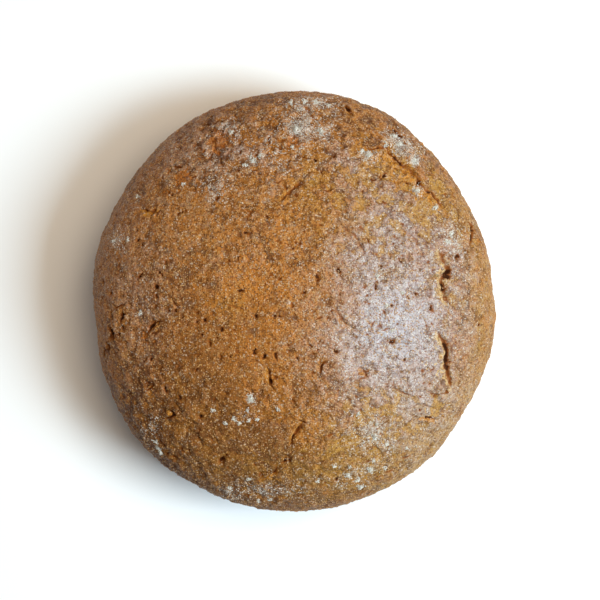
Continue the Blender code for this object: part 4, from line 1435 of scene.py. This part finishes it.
# %% Loose flour in the drifts
FLOUR_WHITE = (0.66, 0.65, 0.6, 1.0)
FLOUR_SHADE = (0.46, 0.41, 0.33, 1.0)


def in_the_drifts(scatter):
    """Thickest where the flour field is strongest."""
    return scatter.attribute("flour").ramp(0.22, 0.9)


def small_ball(scatter):
    """A ball of twenty faces."""
    return scatter.number("GeometryNodeMeshIcoSphere", {}, {"Radius": 1.0, "Subdivisions": 1})


flour_material = grain_material("flour", FLOUR_SHADE, FLOUR_WHITE, 0.8)
spread_on_crust(
    "flour_grains", flour_material, density=1400000.0, radii=(0.12 * MM, 0.30 * MM),
    seed=3, share=in_the_drifts, shape=small_ball,
)

# %% Meal and bran all over
MEAL_BROWN = (0.3, 0.11, 0.022, 1.0)
MEAL_PALE = (0.54, 0.31, 0.12, 1.0)


def on_open_skin(scatter):
    """Nought near the table and inside the cracks, one elsewhere."""
    place = scatter.node("GeometryNodeInputPosition").outputs[0]
    parts = scatter.node("ShaderNodeSeparateXYZ", None, {0: place})
    off_the_table = Signal(scatter, parts.outputs[2]).ramp(2.0 * MM, 6.0 * MM)
    return off_the_table * scatter.attribute("dark").ramp(0.1, 0.4, 1.0, 0.0)


def small_diamond(scatter):
    """A body of eight faces."""
    sockets = {"Segments": 4, "Rings": 2, "Radius": 1.0}
    return scatter.number("GeometryNodeMeshUVSphere", {}, sockets)


spread_on_crust(
    "meal_grains", grain_material("meal", MEAL_BROWN, MEAL_PALE, 0.45),
    density=300000.0, radii=(0.16 * MM, 0.38 * MM), seed=8, share=on_open_skin, shape=small_diamond,
)

# %% Crumbs of dried skin
CRUMB_TAN = (0.24, 0.085, 0.014, 1.0)
CRUMB_PALE = (0.42, 0.25, 0.13, 1.0)


def on_coarse_skin(scatter):
    """Thickest where the skin is coarsest."""
    return scatter.attribute("coarse").ramp(0.35, 1.0)


def rough_ball(scatter):
    """A small ball pushed out of round by a noise."""
    noise_sockets = {"Scale": 1.1, "Detail": 2.0, "Roughness": 0.7}
    swing = scatter.number("ShaderNodeTexNoise", {}, noise_sockets).ramp(0.35, 0.65, -0.55, 0.45)
    place = scatter.node("GeometryNodeInputPosition").outputs[0]
    scaled_place = {0: place, "Scale": swing}
    moved = scatter.number("ShaderNodeVectorMath", {"operation": "SCALE"}, scaled_place)
    sockets = {"Geometry": small_ball(scatter), "Offset": moved}
    return scatter.number("GeometryNodeSetPosition", {}, sockets)


spread_on_crust(
    "skin_crumbs", grain_material("crumb", CRUMB_TAN, CRUMB_PALE, 0.40),
    density=420000.0, radii=(0.28 * MM, 0.66 * MM), seed=31, share=on_coarse_skin,
    shape=rough_ball, sunk=0.25 * MM,
)

# %% [markdown]
# ## Clumps of flour
# The clumps have places of their own on the photograph, so their points come
# from a table.  Each clump is a heap of grains with a ragged outline, dropped
# onto the crust by casting a ray straight down at it.

# %% Clumps of flour
# Plan x, y and width in mm
CLUMPS = (
    (39, -66.5, 3.2), (37.5, -83.5, 3.4), (26.5, -86, 2.8), (33, -92.5, 3.2), (31, -88.5, 2.6),
    (31, -54.5, 2), (45, -83, 2), (27, -81.5, 2), (19.5, -80.5, 2), (11.5, -88.5, 2),
    (-21, -47, 3.4), (-39.5, -53, 2), (-8, -52, 2), (-17.5, -57, 2), (-33.5, -59, 2.2),
    (-29, -57, 2.2), (-26.5, -59, 2.2), (-22.5, -52.5, 1.8), (-22, -57.5, 2), (-22.5, -87.5, 2),
    (-32, -93, 2), (-18, -100, 2), (-12.5, -99, 2), (59.5, 69, 3), (60, 54, 3), (1, 84.5, 3.2),
    (13, 83, 3.2), (-20, 68.5, 3.4), (-23.5, 66, 2.2), (-16.5, 70.5, 2.4), (-31, 83, 2.4),
    (-1, 75, 2), (-1.7, 99, 2.4), (5, 99.5, 2.6), (11, 99, 2.6), (17, 97.5, 2.4), (-54, 57, 2),
    (-78, 52, 2), (-69, -70, 2.4), (-68, -73, 2.8), (-67, -76, 2.4), (-75, -6, 2), (-82, 30, 2),
    (-90, 30, 2), (40, -60, 1.8), (45, -70.5, 1.8), (55.5, -72.5, 1.8), (39, -78.5, 1.8),
    (36.5, 71.5, 3.4), (33, 73, 2.4), (49.5, 82, 2.6), (52.5, 78, 2.6), (45, 77, 2.4),
    (69.5, 46, 2.6), (77, 33, 2.6), (75, 29, 2.6), (40, 12, 2), (44.5, -2, 2.2), (47, -14, 2),
    (52, 4, 1.8),
)
GRAINS_IN_CLUMP = 64
TYPICAL_CLUMP = 2.6
CLUMP_SEED = 17
CLUMP_GRAIN_RADII = (0.14, 0.34)
CLUMP_REACH = 0.55                 # in widths of the clump, before its outline is ragged
CLUMP_HEAP = 0.22
ABOVE_LOAF = 0.2
STRAIGHT_DOWN = Vector((0.0, 0.0, -1.0))


def clump_points():
    """Points and radii of the grains of all clumps, heaped on the crust."""
    chance = random.Random(CLUMP_SEED)
    ground = BVHTree.FromPolygons([tuple(place) for place in loaf_places], loaf_faces)
    points = []
    sizes = []
    for x, y, width in CLUMPS:
        count = int(GRAINS_IN_CLUMP * (width / TYPICAL_CLUMP) ** 2)
        first = chance.uniform(0.0, FULL_TURN)
        second = chance.uniform(0.0, FULL_TURN)
        for _ in range(count):
            turn = chance.uniform(0.0, FULL_TURN)
            ragged = 1.0 + 0.35 * math.cos(2.0 * turn + first)
            ragged = ragged + 0.30 * math.cos(3.0 * turn + second)
            reach = CLUMP_REACH * width * ragged
            away = reach * chance.uniform(0.0, 1.0) ** 0.8
            plan = ((x + away * math.cos(turn)) * MM, (y + away * math.sin(turn)) * MM)
            place, normal, _, _ = ground.ray_cast(Vector((*plan, ABOVE_LOAF)), STRAIGHT_DOWN)
            heap = CLUMP_HEAP * (1.0 - away / reach) * chance.uniform(0.2, 1.0) * width
            points.append(place + normal * heap * MM)
            sizes.append(chance.uniform(*CLUMP_GRAIN_RADII) * MM)
    return points, sizes


def flour_clumps():
    """Clumps of flour where the photograph shows them."""
    points, sizes = clump_points()
    cloud = bpy.data.meshes.new("clump_points")
    cloud.from_pydata([tuple(point) for point in points], [], [])
    paint(cloud, "radius", sizes)
    scatter = Scatter("flour_clumps", flour_material)
    seed = scatter.named("Seed", "NodeSocketInt", 23)
    scatter.close(scatter.source.outputs[0], small_ball(scatter), scatter.attribute("radius"), seed)
    grow("flour_clumps", cloud, scatter)


flour_clumps()

# %% [markdown]
# ## Table, light and camera
# The loaf lies on a plain pale table.  A large soft window on the right gives
# the wide cool sheen right of the middle, over the sheen and reflection painted
# into the film; a warm lamp hangs high above the upper right, and pale
# surroundings fill the shadows.  The camera looks straight down, as in the
# photograph.

# %% Table
TABLE_HALF = 8.0
TABLE_WHITE = (0.90, 0.90, 0.90, 1.0)


def make_table():
    """A plain pale floor far larger than the view."""
    near = -TABLE_HALF
    far = TABLE_HALF
    corners = [(near, near, 0.0), (far, near, 0.0), (far, far, 0.0), (near, far, 0.0)]
    table = make_piece("table", corners, [(0, 1, 2, 3)])
    web = Web("table")
    web.set(Base_Color=TABLE_WHITE, Roughness=0.9, Specular_IOR_Level=0.1)
    table.data.materials.append(web.material)


make_table()

# %% Light
# Azimuth and elevation in degrees, distance and size in metres, power, colour
WINDOW = (-14.0, 48.0, 1.2, 0.5, 20.0, (0.70, 0.88, 1.0))
CEILING_LAMP = (40.0, 68.0, 1.2, 0.7, 8.0, (1.0, 0.82, 0.60))
ROOM_COLOUR = (1.0, 0.93, 0.86, 1.0)
ROOM_STRENGTH = 0.20


def soft_lamp(name, azimuth, elevation, distance, size, power, colour):
    """A square soft lamp that looks at the loaf."""
    lamp = bpy.data.lights.new(name, "AREA")
    lamp.shape = "SQUARE"
    lamp.size = size
    lamp.energy = power
    lamp.color = colour
    holder = bpy.data.objects.new(name, lamp)
    turn = math.radians(azimuth)
    rise = math.radians(elevation)
    way = Vector((math.cos(turn) * math.cos(rise), math.sin(turn) * math.cos(rise), math.sin(rise)))
    holder.location = way * distance + Vector((0.0, 0.0, RING_HEIGHT))
    holder.rotation_euler = way.to_track_quat("Z", "Y").to_euler()
    holder.visible_camera = False
    bpy.context.scene.collection.objects.link(holder)
    print(name, "at azimuth and elevation:", azimuth, elevation)


def pale_room():
    """Even light from all round."""
    world = bpy.data.worlds.new("room")
    world.use_nodes = True
    back = world.node_tree.nodes["Background"]
    back.inputs["Color"].default_value = ROOM_COLOUR
    back.inputs["Strength"].default_value = ROOM_STRENGTH
    bpy.context.scene.world = world


soft_lamp("window", *WINDOW)
soft_lamp("ceiling_lamp", *CEILING_LAMP)
pale_room()
bpy.context.scene.view_settings.view_transform = "Standard"

# %% Camera
CAMERA_REACH = 700.0 * MM       # from the camera to the widest ring
VIEW_WIDTH = 308.8 * MM         # what the frame covers at the widest ring
CAMERA_OFFSET = (2.8 * MM, 0.5 * MM)
SENSOR = 36.0


def overhead_camera():
    """A camera straight above the loaf."""
    data = bpy.data.cameras.new("camera")
    data.sensor_width = SENSOR
    data.lens = SENSOR * CAMERA_REACH / VIEW_WIDTH
    data.clip_start = 0.01
    data.clip_end = 50.0
    camera = bpy.data.objects.new("camera", data)
    camera.location = (CAMERA_OFFSET[0], CAMERA_OFFSET[1], RING_HEIGHT + CAMERA_REACH)
    bpy.context.scene.collection.objects.link(camera)
    bpy.context.scene.camera = camera
    print("lens in mm:", round(data.lens, 1))


overhead_camera()
